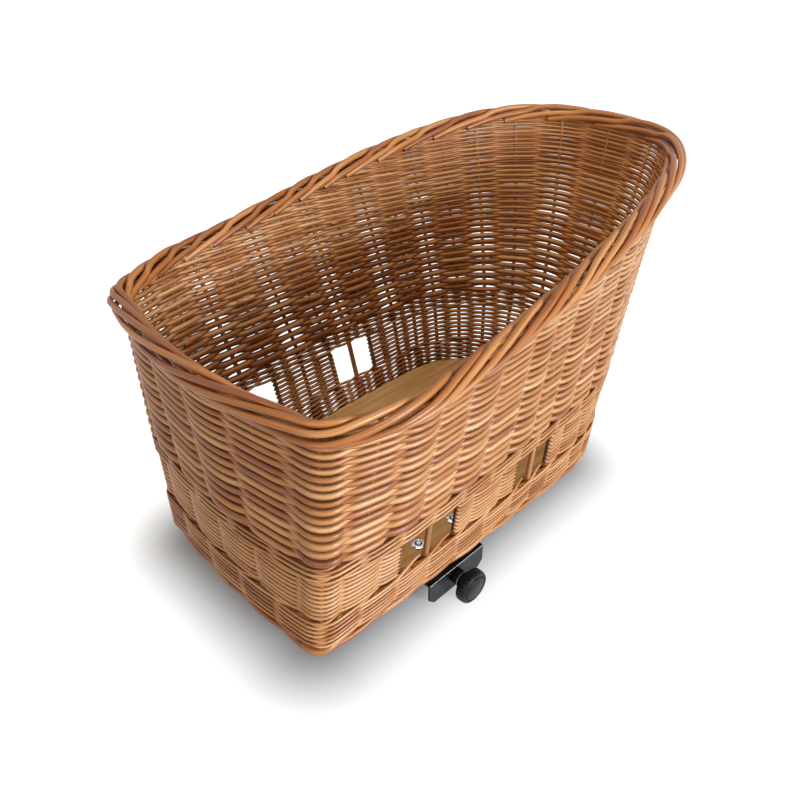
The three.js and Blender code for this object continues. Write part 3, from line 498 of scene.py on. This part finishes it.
# Lays one rod of a row from one place to another, and shares it out over the walls that it crosses
def lay_rod(k, first, last, free_start, free_end):
    begin = first - (TAIL if free_start else 0)
    stop = last + (TAIL if free_end else 0)
    count = int(round((stop - begin) * ROW_STEPS)) + 1
    s = begin + np.arange(count) / ROW_STEPS
    share = (s - begin) / (stop - begin)
    closeness = ROD_TO_ROW[0] + (ROD_TO_ROW[1] - ROD_TO_ROW[0]) * min(k / TOP_ROW, 1)
    width = closeness * row_pitch(k, s) * rng.uniform(0.95, 1.05) * (1.05 - 0.1 * share)
    tucked = np.zeros(count)
    if free_start:
        tucked += ease((first + TUCK_START - s) / TUCK_LENGTH)
    if free_end:
        tucked += ease((s - last + TUCK_START) / TUCK_LENGTH)
    sway = swing(s, k)
    outside = ROW_REACH * (1 + PROUD * np.cos(np.pi * (s - PROUD_STAKE)))
    reach = row_pitch(k, s) * np.where(sway < 0, outside, ROW_REACH_INSIDE)
    inset = ROW_INSET + reach * sway * (1 - TUCK_SLACK * tucked) + TUCK_DEPTH * tucked
    z = row_middle(k, s) + wander(s, 0.4) + tucked * rng.uniform(-1.0, 1.0)
    path, outward = wall(s, z, inset + wander(s, 0.3))
    start = rng.uniform(0, 400)
    tone = rng.random()
    turn = np.mod(s + CORNER_STAKE, STAKE_COUNT) - CORNER_STAKE
    edges = np.nonzero(np.isin(np.round(turn * ROW_STEPS).astype(int), upper_edges))[0]
    cuts = [0] + [e for e in edges if 0 < e < count - 1] + [count - 1]
    for a, b in zip(cuts[:-1], cuts[1:]):
        middle = (turn[a] + turn[a + 1]) / 2 if turn[a + 1] > turn[a] else turn[a + 1]
        name = next(n for n, (low, high) in upper_parts.items() if low <= middle <= high)
        upper_rods[name].add(path, outward, ROD_FLATNESS * width, width, tone, start, part=slice(a, b + 1))


k = 0
while row_span(k) is not None:
    row_start, row_end = row_span(k)
    looped = row_start == row_end
    if looped:
        row_start = 0.5 + 2 * rng.randrange(REAR_MIDDLE) + k % 2
        row_end = row_start + STAKE_COUNT
    here = row_start
    while here < row_end - 0.01:
        reach = math.floor(here) + 0.5 + rng.randrange(*ROD_STAKES)
        reach += (reach - 0.5 + k) % 2
        if reach > row_end - SHORTEST_ROD:
            reach = row_end
        lay_rod(k, here, reach, looped or here > row_start, looped or reach < row_end)
        here = reach
    k += 1
for name, rods in upper_rods.items():
    rods.piece(name + "_weave", wall_willow, [name])


# Window band: one thin rod in each panel, which turns round the stake beside the window into the next row
THIN_ROWS = 18
THIN_ROD = 4.2
THIN_REACH = 2.4
THIN_STEPS = 8
TURN_STEPS = 6


def window_panel(name, first, last):
    rods = Rods()
    pitch = (HEAD_Z - SILL_Z) / THIN_ROWS
    tone = rng.random()
    laid = 0.0
    for k in range(THIN_ROWS):
        forward = k % 2 == 0
        count = int((last - first) * THIN_STEPS) + 1
        s = np.linspace(first, last, count)
        if not forward:
            s = s[::-1]
        z = np.full(count, SILL_Z + pitch * (k + 0.5)) + wander(s, 0.25)
        inset = STAKE_INSET + THIN_REACH * swing(s, k)
        if k < THIN_ROWS - 1:
            end = last if forward else first
            way = 1 if forward else -1
            a = np.linspace(0, np.pi, TURN_STEPS + 2)[1:]
            side = math.cos(math.pi * (end - 0.5 + k))
            bend = THIN_REACH / stake_spacing(end, WINDOW_Z)
            s = np.concatenate([s, end + way * bend * np.sin(a)])
            z = np.concatenate([z, SILL_Z + pitch * (k + 0.5 + a / np.pi)])
            inset = np.concatenate([inset, STAKE_INSET + side * THIN_REACH * np.cos(a)])
        path, outward = wall(s, z, inset)
        width = THIN_ROD * rng.uniform(0.92, 1.06)
        rods.add(path, outward, 0.92 * width, width, tone, laid)
        laid += length_along(path)[-1]
        if rng.random() < 0.5:
            tone = rng.random()
    return rods.piece(name + "_weave", wall_willow, [name])


window_panel("front_window_panel", -FRONT_WINDOW[0], FRONT_WINDOW[0])
window_panel("knob_side_window_panel", FRONT_WINDOW[1], REAR_WINDOW[0])
window_panel("rear_window_panel", REAR_WINDOW[1], STAKE_COUNT - REAR_WINDOW[1])
window_panel("hook_side_window_panel", STAKE_COUNT - REAR_WINDOW[0], STAKE_COUNT - FRONT_WINDOW[1])


# Three-rod wale: each rod passes outside two stakes and inside one, and the three climb over each other.
# A rod lasts a few of these turns.
WALE_STEPS = 8
WALE_RODS = 3
WALE_TURNS = (4, 9)
SHORTEST_WALE = 6


def wale(name, low, high, rounds, rod, reach, inset):
    rods = Rods()
    pitch = (high - low) / rounds
    for turn in range(rounds):
        for lane in range(WALE_RODS):
            here = rng.randrange(STAKE_COUNT)
            end_all = here + STAKE_COUNT
            while here < end_all:
                end = here + WALE_RODS * rng.randrange(*WALE_TURNS)
                if end > end_all - SHORTEST_WALE:
                    end = end_all
                s = np.arange(here * WALE_STEPS, end * WALE_STEPS + 1) / WALE_STEPS
                p = 2 * np.pi * (s - 0.5 + lane) / WALE_RODS
                inside = 2 * ((1 + np.cos(p)) / 2) ** 1.5 - 1
                climb = np.clip(-1.25 * np.sin(p), -1, 1)
                z = low + pitch * (turn + 0.5) + climb * pitch / 4 + wander(s, 0.3)
                path, outward = wall(s, z, inset + reach * inside + wander(s, 0.2))
                size = rod * rng.uniform(0.94, 1.06)
                rods.add(path, outward, 0.98 * size, size, rng.random(), rng.uniform(0, 300))
                here = end
    return rods.piece(name + "_weave", wall_willow, [name])


wale("middle_wale", HEAD_Z, WALE_TOP_Z, 3, 3.5, 4.6, 4.0)
wale("upsett_wale", BOARD_LOW_Z, SILL_Z, 6, 3.5, 4.8, 4.0)


# Rolled border: each stake's rod lies low inside the rim, comes up between its neighbours with a bent
# knuckle, slants over the top and goes down to the outer lower edge under the next rods. Each key is stakes
# on, millimetres outwards and millimetres up from the rim line.
BORDER_KEYS = np.array([
    (-0.2, -6.4, -8.0), (0.3, -8.2, -3.6), (0.9, -7.8, 0.0), (1.25, -6.2, 1.0), (1.5, -3.8, 5.4),
    (1.9, -1.0, 6.6), (2.4, 2.8, 5.4), (2.9, 6.0, 2.4), (3.4, 8.0, -1.6), (3.9, 8.4, -5.2),
    (4.5, 7.0, -8.4), (5.0, 3.6, -9.8),
])
BORDER_THICK = 7.2
BORDER_THIN = 5.8
BORDER_STEPS = 12


# The keys joined by a line whose bends are rounded by averaging it twice over a short span
def border_table():
    span = 17
    t = np.linspace(BORDER_KEYS[0, 0], BORDER_KEYS[-1, 0], 521)
    soft = np.ones(span) / span
    columns = [t]
    for k in (1, 2):
        straight = np.interp(t, BORDER_KEYS[:, 0], BORDER_KEYS[:, k])
        padded = np.pad(straight, span - 1, mode="edge")
        columns.append(np.convolve(np.convolve(padded, soft, "valid"), soft, "valid"))
    return columns


def rim_border():
    rods = Rods()
    places, outs, rises = border_table()
    for stake in range(STAKE_COUNT):
        first = stake + 0.5 + rng.uniform(-0.12, 0.12)
        length = places[-1] - places[0]
        t = places[0] + np.arange(int(length * BORDER_STEPS) + 1) / BORDER_STEPS
        s = first - t
        out = np.interp(t, places, outs) + wander(s, 0.7)
        rise = np.interp(t, places, rises) + wander(s, 0.7)
        height = rim_z_at(s)
        path, outward = wall(s, height, -out)
        path[:, 2] += rise
        share = (t - t[0]) / length
        size = (BORDER_THICK + (BORDER_THIN - BORDER_THICK) * share) * rng.uniform(0.92, 1.06)
        rods.add(path, outward, size, size, rng.random(), rng.uniform(0, 300), sides=10)
    return rods.piece("rim_border_rods", border_willow, ["rim_border"])


rim_border()


# Foot border: strands wound round and round each other on a flat oval under the board
def foot_border():
    rods = Rods()
    strands = 5
    turns = 6
    half_wide = 7.2
    half_tall = 3.9
    middle_z = 11.4
    middle_inset = 8.0
    thick = 6.9
    a = np.linspace(0, 2 * np.pi, 721)
    shares = length_along(np.stack([half_wide * np.cos(a), half_tall * np.sin(a)], 1))
    shares = shares / shares[-1]
    for strand in range(strands):
        here = strand * 0.7
        end_all = here + STAKE_COUNT
        while here < end_all:
            end = min(here + rng.uniform(9, 15), end_all)
            if end_all - end < 6:
                end = end_all
            s = np.linspace(here, end, int((end - here) * 8) + 2)
            angle = np.interp(np.mod(s * turns / STAKE_COUNT + strand / strands, 1), shares, a)
            swell = 1 + wander(s, 0.08)
            z = middle_z + half_tall * np.sin(angle) * swell
            path, outward = wall(s, z, middle_inset - half_wide * np.cos(angle) * swell)
            size = thick * rng.uniform(0.94, 1.06)
            rods.add(path, outward, size, size, rng.random(), rng.uniform(0, 300), sides=10)
            here = end
    return rods.piece("foot_border_rods", border_willow, ["foot_border"])


foot_border()


# Stakes: rods that stand from the board to the rim, one thicker rod across each window
def stake_rod(rods, s, diameter):
    top = rim_z_at(np.array([s]))[0] - 1
    z = np.linspace(BOARD_LOW_Z + 1, top, 60)
    path, outward = wall(np.full(len(z), s), z, np.full(len(z), STAKE_INSET) + wander(z / 40, 0.3))
    taper = np.linspace(1.06, 0.88, len(z))
    rods.add(path, outward, diameter * taper, diameter * taper, rng.random(), rng.uniform(0, 300))


window_stakes = {5.5: "knob_side_front", 9.5: "knob_side_rear",
                 26.5: "hook_side_rear", 30.5: "hook_side_front"}
standing = Rods()
for s in np.arange(STAKE_COUNT) + 0.5:
    if s not in window_stakes:
        stake_rod(standing, s, STAKE)
standing.piece("upright_stakes", stake_willow)
for s, side in window_stakes.items():
    lone = Rods()
    stake_rod(lone, s, WINDOW_STAKE)
    lone.piece(side + "_window_stake_rod", stake_willow, [side + "_window_stake"])


# Patterns in the plywood's face: length and width in millimetres, detail and distortion. Fibres are drawn
# wider than real ones, to show.
BOARD_PATTERNS = {"figure": (130, 7, 4.0, 0.6), "fibres": (16, 0.9, 3.0, 0.0)}


# Birch plywood: a sanded face with long figure in the veneer, and its plies along the edge
def plywood():
    fibre_share = 0.35
    fibre_relief = 0.3
    ply = 2.5
    material, tree, shader = new_material("birch_plywood")
    here = add_node(tree, "ShaderNodeTexCoord").outputs["Object"]
    pattern = {}
    for kind, (length, width, detail, distortion) in BOARD_PATTERNS.items():
        scale = (1 / (length * MM), 1 / (width * MM), 1 / (width * MM))
        spread = add_node(tree, "ShaderNodeVectorMath", {0: here, 1: scale}, operation="MULTIPLY")
        noise = add_node(tree, "ShaderNodeTexNoise", {"Vector": spread.outputs[0], "Scale": 1.0,
                                                      "Detail": detail, "Distortion": distortion})
        pattern[kind] = noise.outputs["Fac"]
    fibres = pattern["fibres"]
    shade = add_node(tree, "ShaderNodeMath", {0: fibres, 1: fibre_share, 2: pattern["figure"]},
                     operation="MULTIPLY_ADD").outputs[0]
    face = add_node(tree, "ShaderNodeValToRGB", {0: shade}, ramp=(
        (0.45, "#BE8F57"), (0.62, "#D2A771"), (0.75, "#DEB883"), (0.92, "#E9CA9B"))).outputs["Color"]
    height = add_node(tree, "ShaderNodeSeparateXYZ", {0: here}).outputs["Z"]
    layers = add_node(tree, "ShaderNodeMath", {0: height, 1: ply * MM}, operation="PINGPONG").outputs[0]
    dark = add_node(tree, "ShaderNodeMapRange", {"Value": layers, "From Min": ply * MM * 0.35,
                                                 "From Max": ply * MM * 0.65, "To Max": 0.45})
    facing = add_node(tree, "ShaderNodeNewGeometry").outputs["Normal"]
    upward = add_node(tree, "ShaderNodeSeparateXYZ", {0: facing}).outputs["Z"]
    level = add_node(tree, "ShaderNodeMath", {0: upward}, operation="ABSOLUTE").outputs[0]
    edge = add_node(tree, "ShaderNodeMath", {0: 0.5, 1: level}, operation="GREATER_THAN").outputs[0]
    plies = add_node(tree, "ShaderNodeMath", {0: edge, 1: dark.outputs["Result"]}, operation="MULTIPLY")
    mixed = add_node(tree, "ShaderNodeMix", {0: plies.outputs[0], 6: face, 7: colour("#7A5430")},
                     data_type="RGBA")
    tree.links.new(mixed.outputs[2], shader.inputs["Base Color"])
    gloss = add_node(tree, "ShaderNodeMapRange", {"Value": fibres, "From Min": NOISE_LOW,
                                                  "From Max": NOISE_HIGH, "To Min": 0.5, "To Max": 0.68})
    tree.links.new(gloss.outputs["Result"], shader.inputs["Roughness"])
    relief = add_node(tree, "ShaderNodeBump", {"Height": fibres, "Strength": 0.25,
                                               "Distance": fibre_relief * MM})
    tree.links.new(relief.outputs["Normal"], shader.inputs["Normal"])
    return material


# A hard surface with a fine even texture: its colour and its gloss drift a little. The grit is drawn coarser
# than the real one, to show.
def hard_surface(name, darker, lighter, grit, depth, roughness, metallic=0.0, mirror=0.5):
    drift_size = 45
    material, tree, shader = new_material(name)
    here = add_node(tree, "ShaderNodeTexCoord").outputs["Object"]
    drift = add_node(tree, "ShaderNodeTexNoise", {"Vector": here, "Scale": 1 / (drift_size * MM),
                                                  "Detail": 3.0}).outputs["Fac"]
    fine = add_node(tree, "ShaderNodeTexNoise", {"Vector": here, "Scale": 1 / (grit * MM),
                                                 "Detail": 2.0}).outputs["Fac"]
    stops = ((NOISE_LOW, darker), (NOISE_HIGH, lighter))
    tint = add_node(tree, "ShaderNodeValToRGB", {0: drift}, ramp=stops)
    tree.links.new(tint.outputs["Color"], shader.inputs["Base Color"])
    shader.inputs["Metallic"].default_value = metallic
    shader.inputs["Specular IOR Level"].default_value = mirror
    gloss = add_node(tree, "ShaderNodeMapRange", {"Value": drift, "From Min": NOISE_LOW,
                                                  "From Max": NOISE_HIGH, "To Min": roughness[0],
                                                  "To Max": roughness[1]})
    tree.links.new(gloss.outputs["Result"], shader.inputs["Roughness"])
    relief = add_node(tree, "ShaderNodeBump", {"Height": fine, "Strength": 0.3, "Distance": depth * MM})
    tree.links.new(relief.outputs["Normal"], shader.inputs["Normal"])
    return material


# Moulded nylon: spark-eroded grain, dull gloss. Black powder coat: fine orange peel, deeper gloss.
# Zinc plate: bluish white, slightly mottled. Chromed spring wire: bright.
nylon = hard_surface("moulded_black_nylon", "#0A0D0F", "#12171A", 0.9, 0.06, (0.32, 0.46), mirror=0.22)
powder_coat = hard_surface("black_powder_coat", "#0B0F13", "#141A20", 1.6, 0.05, (0.22, 0.34), mirror=0.3)
zinc = hard_surface("zinc_plated_steel", "#D3DBE2", "#EEF2F5", 1.2, 0.03, (0.24, 0.42), metallic=0.7)
chrome = hard_surface("chromed_spring_wire", "#C6C8CB", "#DCDDDF", 2.0, 0.02, (0.1, 0.2), metallic=1.0)


# A CAD node keeps its shape and gets a finish, with its sharp edges eased
def finish_node(name, material, edge):
    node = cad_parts[name]
    node.data.materials.clear()
    node.data.materials.append(material)
    weld = node.modifiers.new("joined_corners", "WELD")
    weld.merge_threshold = 0.02 * MM
    bevel = node.modifiers.new("eased_edges", "BEVEL")
    bevel.width = edge * MM
    bevel.segments = 2
    bevel.limit_method = "ANGLE"
    bevel.angle_limit = math.radians(40)
    bevel.harden_normals = True


moulded = ("adapter_housing", "adapter_end_cap", "fixed_hook", "adapter_end_block", "sliding_jaw", "rod_bush")
finish_node("base_board", plywood(), 0.8)
for name in moulded:
    finish_node(name, nylon, 0.7)
finish_node("bracket_plate", powder_coat, 0.8)
finish_node("pull_rod", zinc, 0.3)
for side in ("knob_side", "hook_side"):
    for end in ("front", "rear"):
        finish_node(f"{side}_{end}_screw", zinc, 0.3)


# Rings of points joined into a closed skin, first and last ring closed by faces or by each other
def ringed_mesh(name, rings, closed):
    count = len(rings[0])
    points = np.concatenate(rings) * MM
    faces = []
    last = len(rings) if closed else len(rings) - 1
    for i in range(last):
        for k in range(count):
            j = (i + 1) % len(rings)
            n = (k + 1) % count
            faces.append([i * count + k, i * count + n, j * count + n, j * count + k])
    if not closed:
        faces.append(list(range(count - 1, -1, -1)))
        faces.append(list(range((len(rings) - 1) * count, len(rings) * count)))
    mesh = bpy.data.meshes.new(name)
    mesh.from_pydata(points.tolist(), [], faces)
    return mesh


# Tee nut: a pressed flange with a notch where each of its four prongs was bent down, and a bored barrel
NUT_BORE = 3.9
NUT_BARREL = 4.5
NUT_FLANGE = 8.5
NUT_SHEET = 1.5
NUT_PRONGS = 4
NUT_NOTCH = 2.6


def tee_nut(node, turned):
    low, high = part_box(node)
    middle = (np.array(low) + np.array(high)) / 2 / MM
    bottom = low[2] / MM
    top = high[2] / MM
    a = np.linspace(0, 2 * np.pi, 96, endpoint=False)
    notch = np.clip(np.cos(NUT_PRONGS * (a - turned)), 0, 1) ** 6
    outline = NUT_FLANGE - NUT_NOTCH * notch
    under = top - NUT_SHEET
    profile = ((NUT_BORE, bottom), (NUT_BORE, top - 0.7), (4.2, top + 0.1), (4.8, top + 0.3), (5.6, top),
               (outline - 0.45, top), (outline, top - 0.35), (outline, under),
               (NUT_BARREL + 0.1, under), (NUT_BARREL, bottom))
    rings = []
    for radius, z in profile:
        x = middle[0] + radius * np.cos(a)
        y = middle[1] + radius * np.sin(a)
        rings.append(np.stack([x, y, np.full(len(a), z)], 1))
    mesh = ringed_mesh(node + "_pressed", rings, True)
    made = place(mesh, node + "_pressed", zinc, [node], "zinc", "basket")
    crease = made.modifiers.new("edges", "BEVEL")
    crease.width = 0.15 * MM
    crease.segments = 2
    crease.limit_method = "ANGLE"
    crease.angle_limit = math.radians(40)
    return made


for side in ("knob_side", "hook_side"):
    for end in ("front", "rear"):
        tee_nut(f"{side}_{end}_tee_nut", rng.uniform(0, math.pi / 2))


# Knob: a moulded disc with finger ribs round its edge and a round button in a groove on its face
ROD_Z = -16
KNOB_FACE_Y = -170.88
KNOB_BACK_Y = -157.88
HUB_END_Y = -151.38
KNOB_RIBS = 24
RIB_POINTS = 8
RIB_DEPTH = 0.7


# The profile gives radius, place along the rod and how deep the ribs are there
def knob():
    a = np.linspace(0, 2 * np.pi, KNOB_RIBS * RIB_POINTS, endpoint=False)
    ripple = 0.5 - 0.5 * np.cos(KNOB_RIBS * a)
    face = KNOB_FACE_Y
    back = KNOB_BACK_Y
    button = ((0.4, face, 0), (13.4, face, 0), (14.0, face + 0.5, 0), (14.3, face + 2.4, 0))
    disc = ((15.7, face + 2.4, 0), (16.0, face + 0.7, 0), (17.4, face + 0.6, 0), (18.6, face + 1.3, 0),
            (19.5, face + 3.0, 0.5), (20.0, face + 4.8, 1), (20.0, back - 2.4, 1), (19.2, back - 0.8, 0.5),
            (17.8, back, 0))
    hub = ((11.2, back, 0), (10.0, back + 1.0, 0), (10.0, HUB_END_Y - 0.5, 0), (9.5, HUB_END_Y, 0),
           (4.4, HUB_END_Y, 0))
    rings = []
    for radius, y, ribbed in button + disc + hub:
        around = radius - RIB_DEPTH * ribbed * ripple
        rings.append(np.stack([around * np.sin(a), np.full(len(a), y), ROD_Z + around * np.cos(a)], 1))
    mesh = ringed_mesh("knob_moulding", rings, False)
    return place(mesh, "knob_moulding", nylon, ["knob"], "black_plastic", "knob")


knob()


# Spring: close turns at both ends, so it sits flat on the jaw and on the plate
SPRING_ENDS = (-140.68, -93.98)
SPRING_RADIUS = 7.2
SPRING_WIRE = 1.8
SPRING_TURNS = 8


def spring():
    rods = Rods()
    turn = np.linspace(0, SPRING_TURNS, SPRING_TURNS * 32 + 1)
    rise = np.interp(turn, (0, 1, SPRING_TURNS - 1, SPRING_TURNS), (0, 0.045, 0.955, 1))
    y = SPRING_ENDS[0] + SPRING_WIRE / 2 + rise * (SPRING_ENDS[1] - SPRING_ENDS[0] - SPRING_WIRE)
    a = 2 * np.pi * turn
    outward = np.stack([np.cos(a), np.zeros(len(a)), np.sin(a)], 1)
    path = SPRING_RADIUS * outward + np.stack([np.zeros(len(a)), y, np.full(len(a), float(ROD_Z))], 1)
    rods.add(path, outward, SPRING_WIRE, SPRING_WIRE, 0.5, sides=10)
    made = rods.piece("jaw_spring_coil", chrome, ["jaw_spring"], "chrome")
    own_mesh(made)


spring()


# Painted highlights: thin bright zinc lines on the plate's bend and on the collar's rim, where light catches
PLATE_BEND = (-143.3, -0.25)
PLATE_HALF = 42.6
COLLAR_END = -150.7
COLLAR_RADIUS = 8.8


def painted_highlight_edges():
    rods = Rods()
    x = np.linspace(-PLATE_HALF, PLATE_HALF, 24)
    bend = np.stack([x, np.full(len(x), PLATE_BEND[0]), np.full(len(x), PLATE_BEND[1])], 1)
    rods.add(bend, np.tile((0.0, -1.0, 0.0), (len(x), 1)), 0.7, 0.7, 0.5)
    a = np.linspace(0, 2 * np.pi, 49)
    outward = np.stack([np.sin(a), np.zeros(len(a)), np.cos(a)], 1)
    collar = COLLAR_RADIUS * outward + np.array((0.0, COLLAR_END, ROD_Z))
    rods.add(collar, outward, 0.6, 0.6, 0.5)
    return rods.piece("painted_highlight_strips", zinc, slot="zinc")


painted_highlight_edges()

# Camera at the photograph's viewing angle, from the fit to the basket's lines
CAMERA_PLACE = (-431.77, -499.41, 619.02)
camera_data = bpy.data.cameras.new("camera")
camera_data.sensor_width = 36
camera_data.lens = 33.456
camera_data.clip_end = 50
camera = bpy.data.objects.new("camera", camera_data)
bpy.context.scene.collection.objects.link(camera)
right = Vector((0.71309, -0.70103, -0.00708))
upward = Vector((0.41107, 0.40992, 0.81424))
forward = Vector((0.56791, 0.58354, -0.58049))
turned = Matrix((right, upward, -forward)).transposed().to_4x4()
camera.matrix_world = Matrix.Translation(Vector(CAMERA_PLACE) * MM) @ turned
bpy.context.scene.camera = camera

# Floor: grey paper that glows white away from the basket. Near the basket the glow fades out, which paints a
# soft shadow there on top of the real one
FLOOR_LEVEL = -0.0362
FLOOR_HALF = 6
floor_mesh = bpy.data.meshes.new("studio_floor")
floor_signs = ((-1, -1), (1, -1), (1, 1), (-1, 1))
floor_corners = [(FLOOR_HALF * x, FLOOR_HALF * y, FLOOR_LEVEL) for x, y in floor_signs]
floor_mesh.from_pydata(floor_corners, [], [(0, 1, 2, 3)])
floor = bpy.data.objects.new("studio_floor", floor_mesh)
bpy.context.scene.collection.objects.link(floor)
floor_material, floor_tree, floor_shader = new_material("white_studio_paper")
# A grey base colour, so that the painted and the real shadow near the basket are dark
floor_shader.inputs["Base Color"].default_value = colour("#8C8F99")
floor_shader.inputs["Roughness"].default_value = 0.9
floor_shader.inputs["Emission Color"].default_value = (1, 1, 1, 1)
floor_mesh.materials.append(floor_material)


# Share of rays that see the white studio: straight from the camera, mirrored or through clear matter
def seen_rays(tree):
    path = add_node(tree, "ShaderNodeLightPath")
    seen = path.outputs["Is Camera Ray"]
    for name in ("Is Glossy Ray", "Is Transmission Ray"):
        either = add_node(tree, "ShaderNodeMath", {0: seen, 1: path.outputs[name]}, operation="MAXIMUM")
        seen = either.outputs[0]
    return seen


# Painted shadow: the whitening grows with the distance from a box round the basket's footprint, set where
# the shadow should lie, so the floor stays dark near the basket
PAINTED_SHADOW_MIDDLE = (0.05, 0.02, FLOOR_LEVEL)
PAINTED_SHADOW_HALF = (0.2, 0.1, 1.0)
WHITE_FROM = 0.13
floor_place = add_node(floor_tree, "ShaderNodeTexCoord").outputs["Object"]
floor_steps = ((PAINTED_SHADOW_MIDDLE, "SUBTRACT"), ((0, 0, 0), "ABSOLUTE"), (PAINTED_SHADOW_HALF, "SUBTRACT"),
               ((0, 0, 0), "MAXIMUM"), ((0, 0, 0), "LENGTH"))
for amount, operation in floor_steps:
    floor_step = add_node(floor_tree, "ShaderNodeVectorMath", {0: floor_place, 1: amount},
                          operation=operation)
    floor_place = floor_step.outputs["Value" if operation == "LENGTH" else "Vector"]
floor_white = add_node(floor_tree, "ShaderNodeMapRange", {"Value": floor_place, "From Max": WHITE_FROM},
                       interpolation_type="SMOOTHSTEP").outputs["Result"]
floor_glow = add_node(floor_tree, "ShaderNodeMath", {0: floor_white, 1: seen_rays(floor_tree)},
                      operation="MULTIPLY")
floor_tree.links.new(floor_glow.outputs[0], floor_shader.inputs["Emission Strength"])

# Soft studio light: a warm sky that the camera sees as white, one broad lamp on the knob side, and weak lamps
# in front and above
SKY = 0.275
WARM = "#FFE9C6"
COOL = "#F2F8FF"
world = bpy.data.worlds.new("studio")
bpy.context.scene.world = world
world.use_nodes = True
sky_tree = world.node_tree
sky = sky_tree.nodes["Background"]
sky_seen = seen_rays(sky_tree)
sky_colour = add_node(sky_tree, "ShaderNodeMix", {0: sky_seen, 6: colour(WARM), 7: (1, 1, 1, 1)},
                      data_type="RGBA")
sky_tree.links.new(sky_colour.outputs[2], sky.inputs["Color"])
sky_strength = add_node(sky_tree, "ShaderNodeMapRange", {"Value": sky_seen, "To Min": SKY, "To Max": 1.0})
sky_tree.links.new(sky_strength.outputs["Result"], sky.inputs["Strength"])


def soft_lamp(name, where, size, power, tint, target=(0.1, 0, 0.15)):
    data = bpy.data.lights.new(name, "AREA")
    data.shape = "DISK"
    data.size = size
    data.energy = power
    data.color = colour(tint)[:3]
    lamp = bpy.data.objects.new(name, data)
    bpy.context.scene.collection.objects.link(lamp)
    aim = Vector(target) - Vector(where)
    lamp.matrix_world = Matrix.Translation(where) @ aim.to_track_quat("-Z", "Y").to_matrix().to_4x4()


soft_lamp("lamp_knob_side", (0.2, -2.4, 0.74), 0.9, 63, COOL)
soft_lamp("lamp_front", (-2.2, -0.9, 0.9), 1.2, 12, WARM)
soft_lamp("lamp_above", (0.0, 0.1, 2.6), 0.5, 16, WARM)

bpy.context.scene.view_settings.view_transform = "Standard"
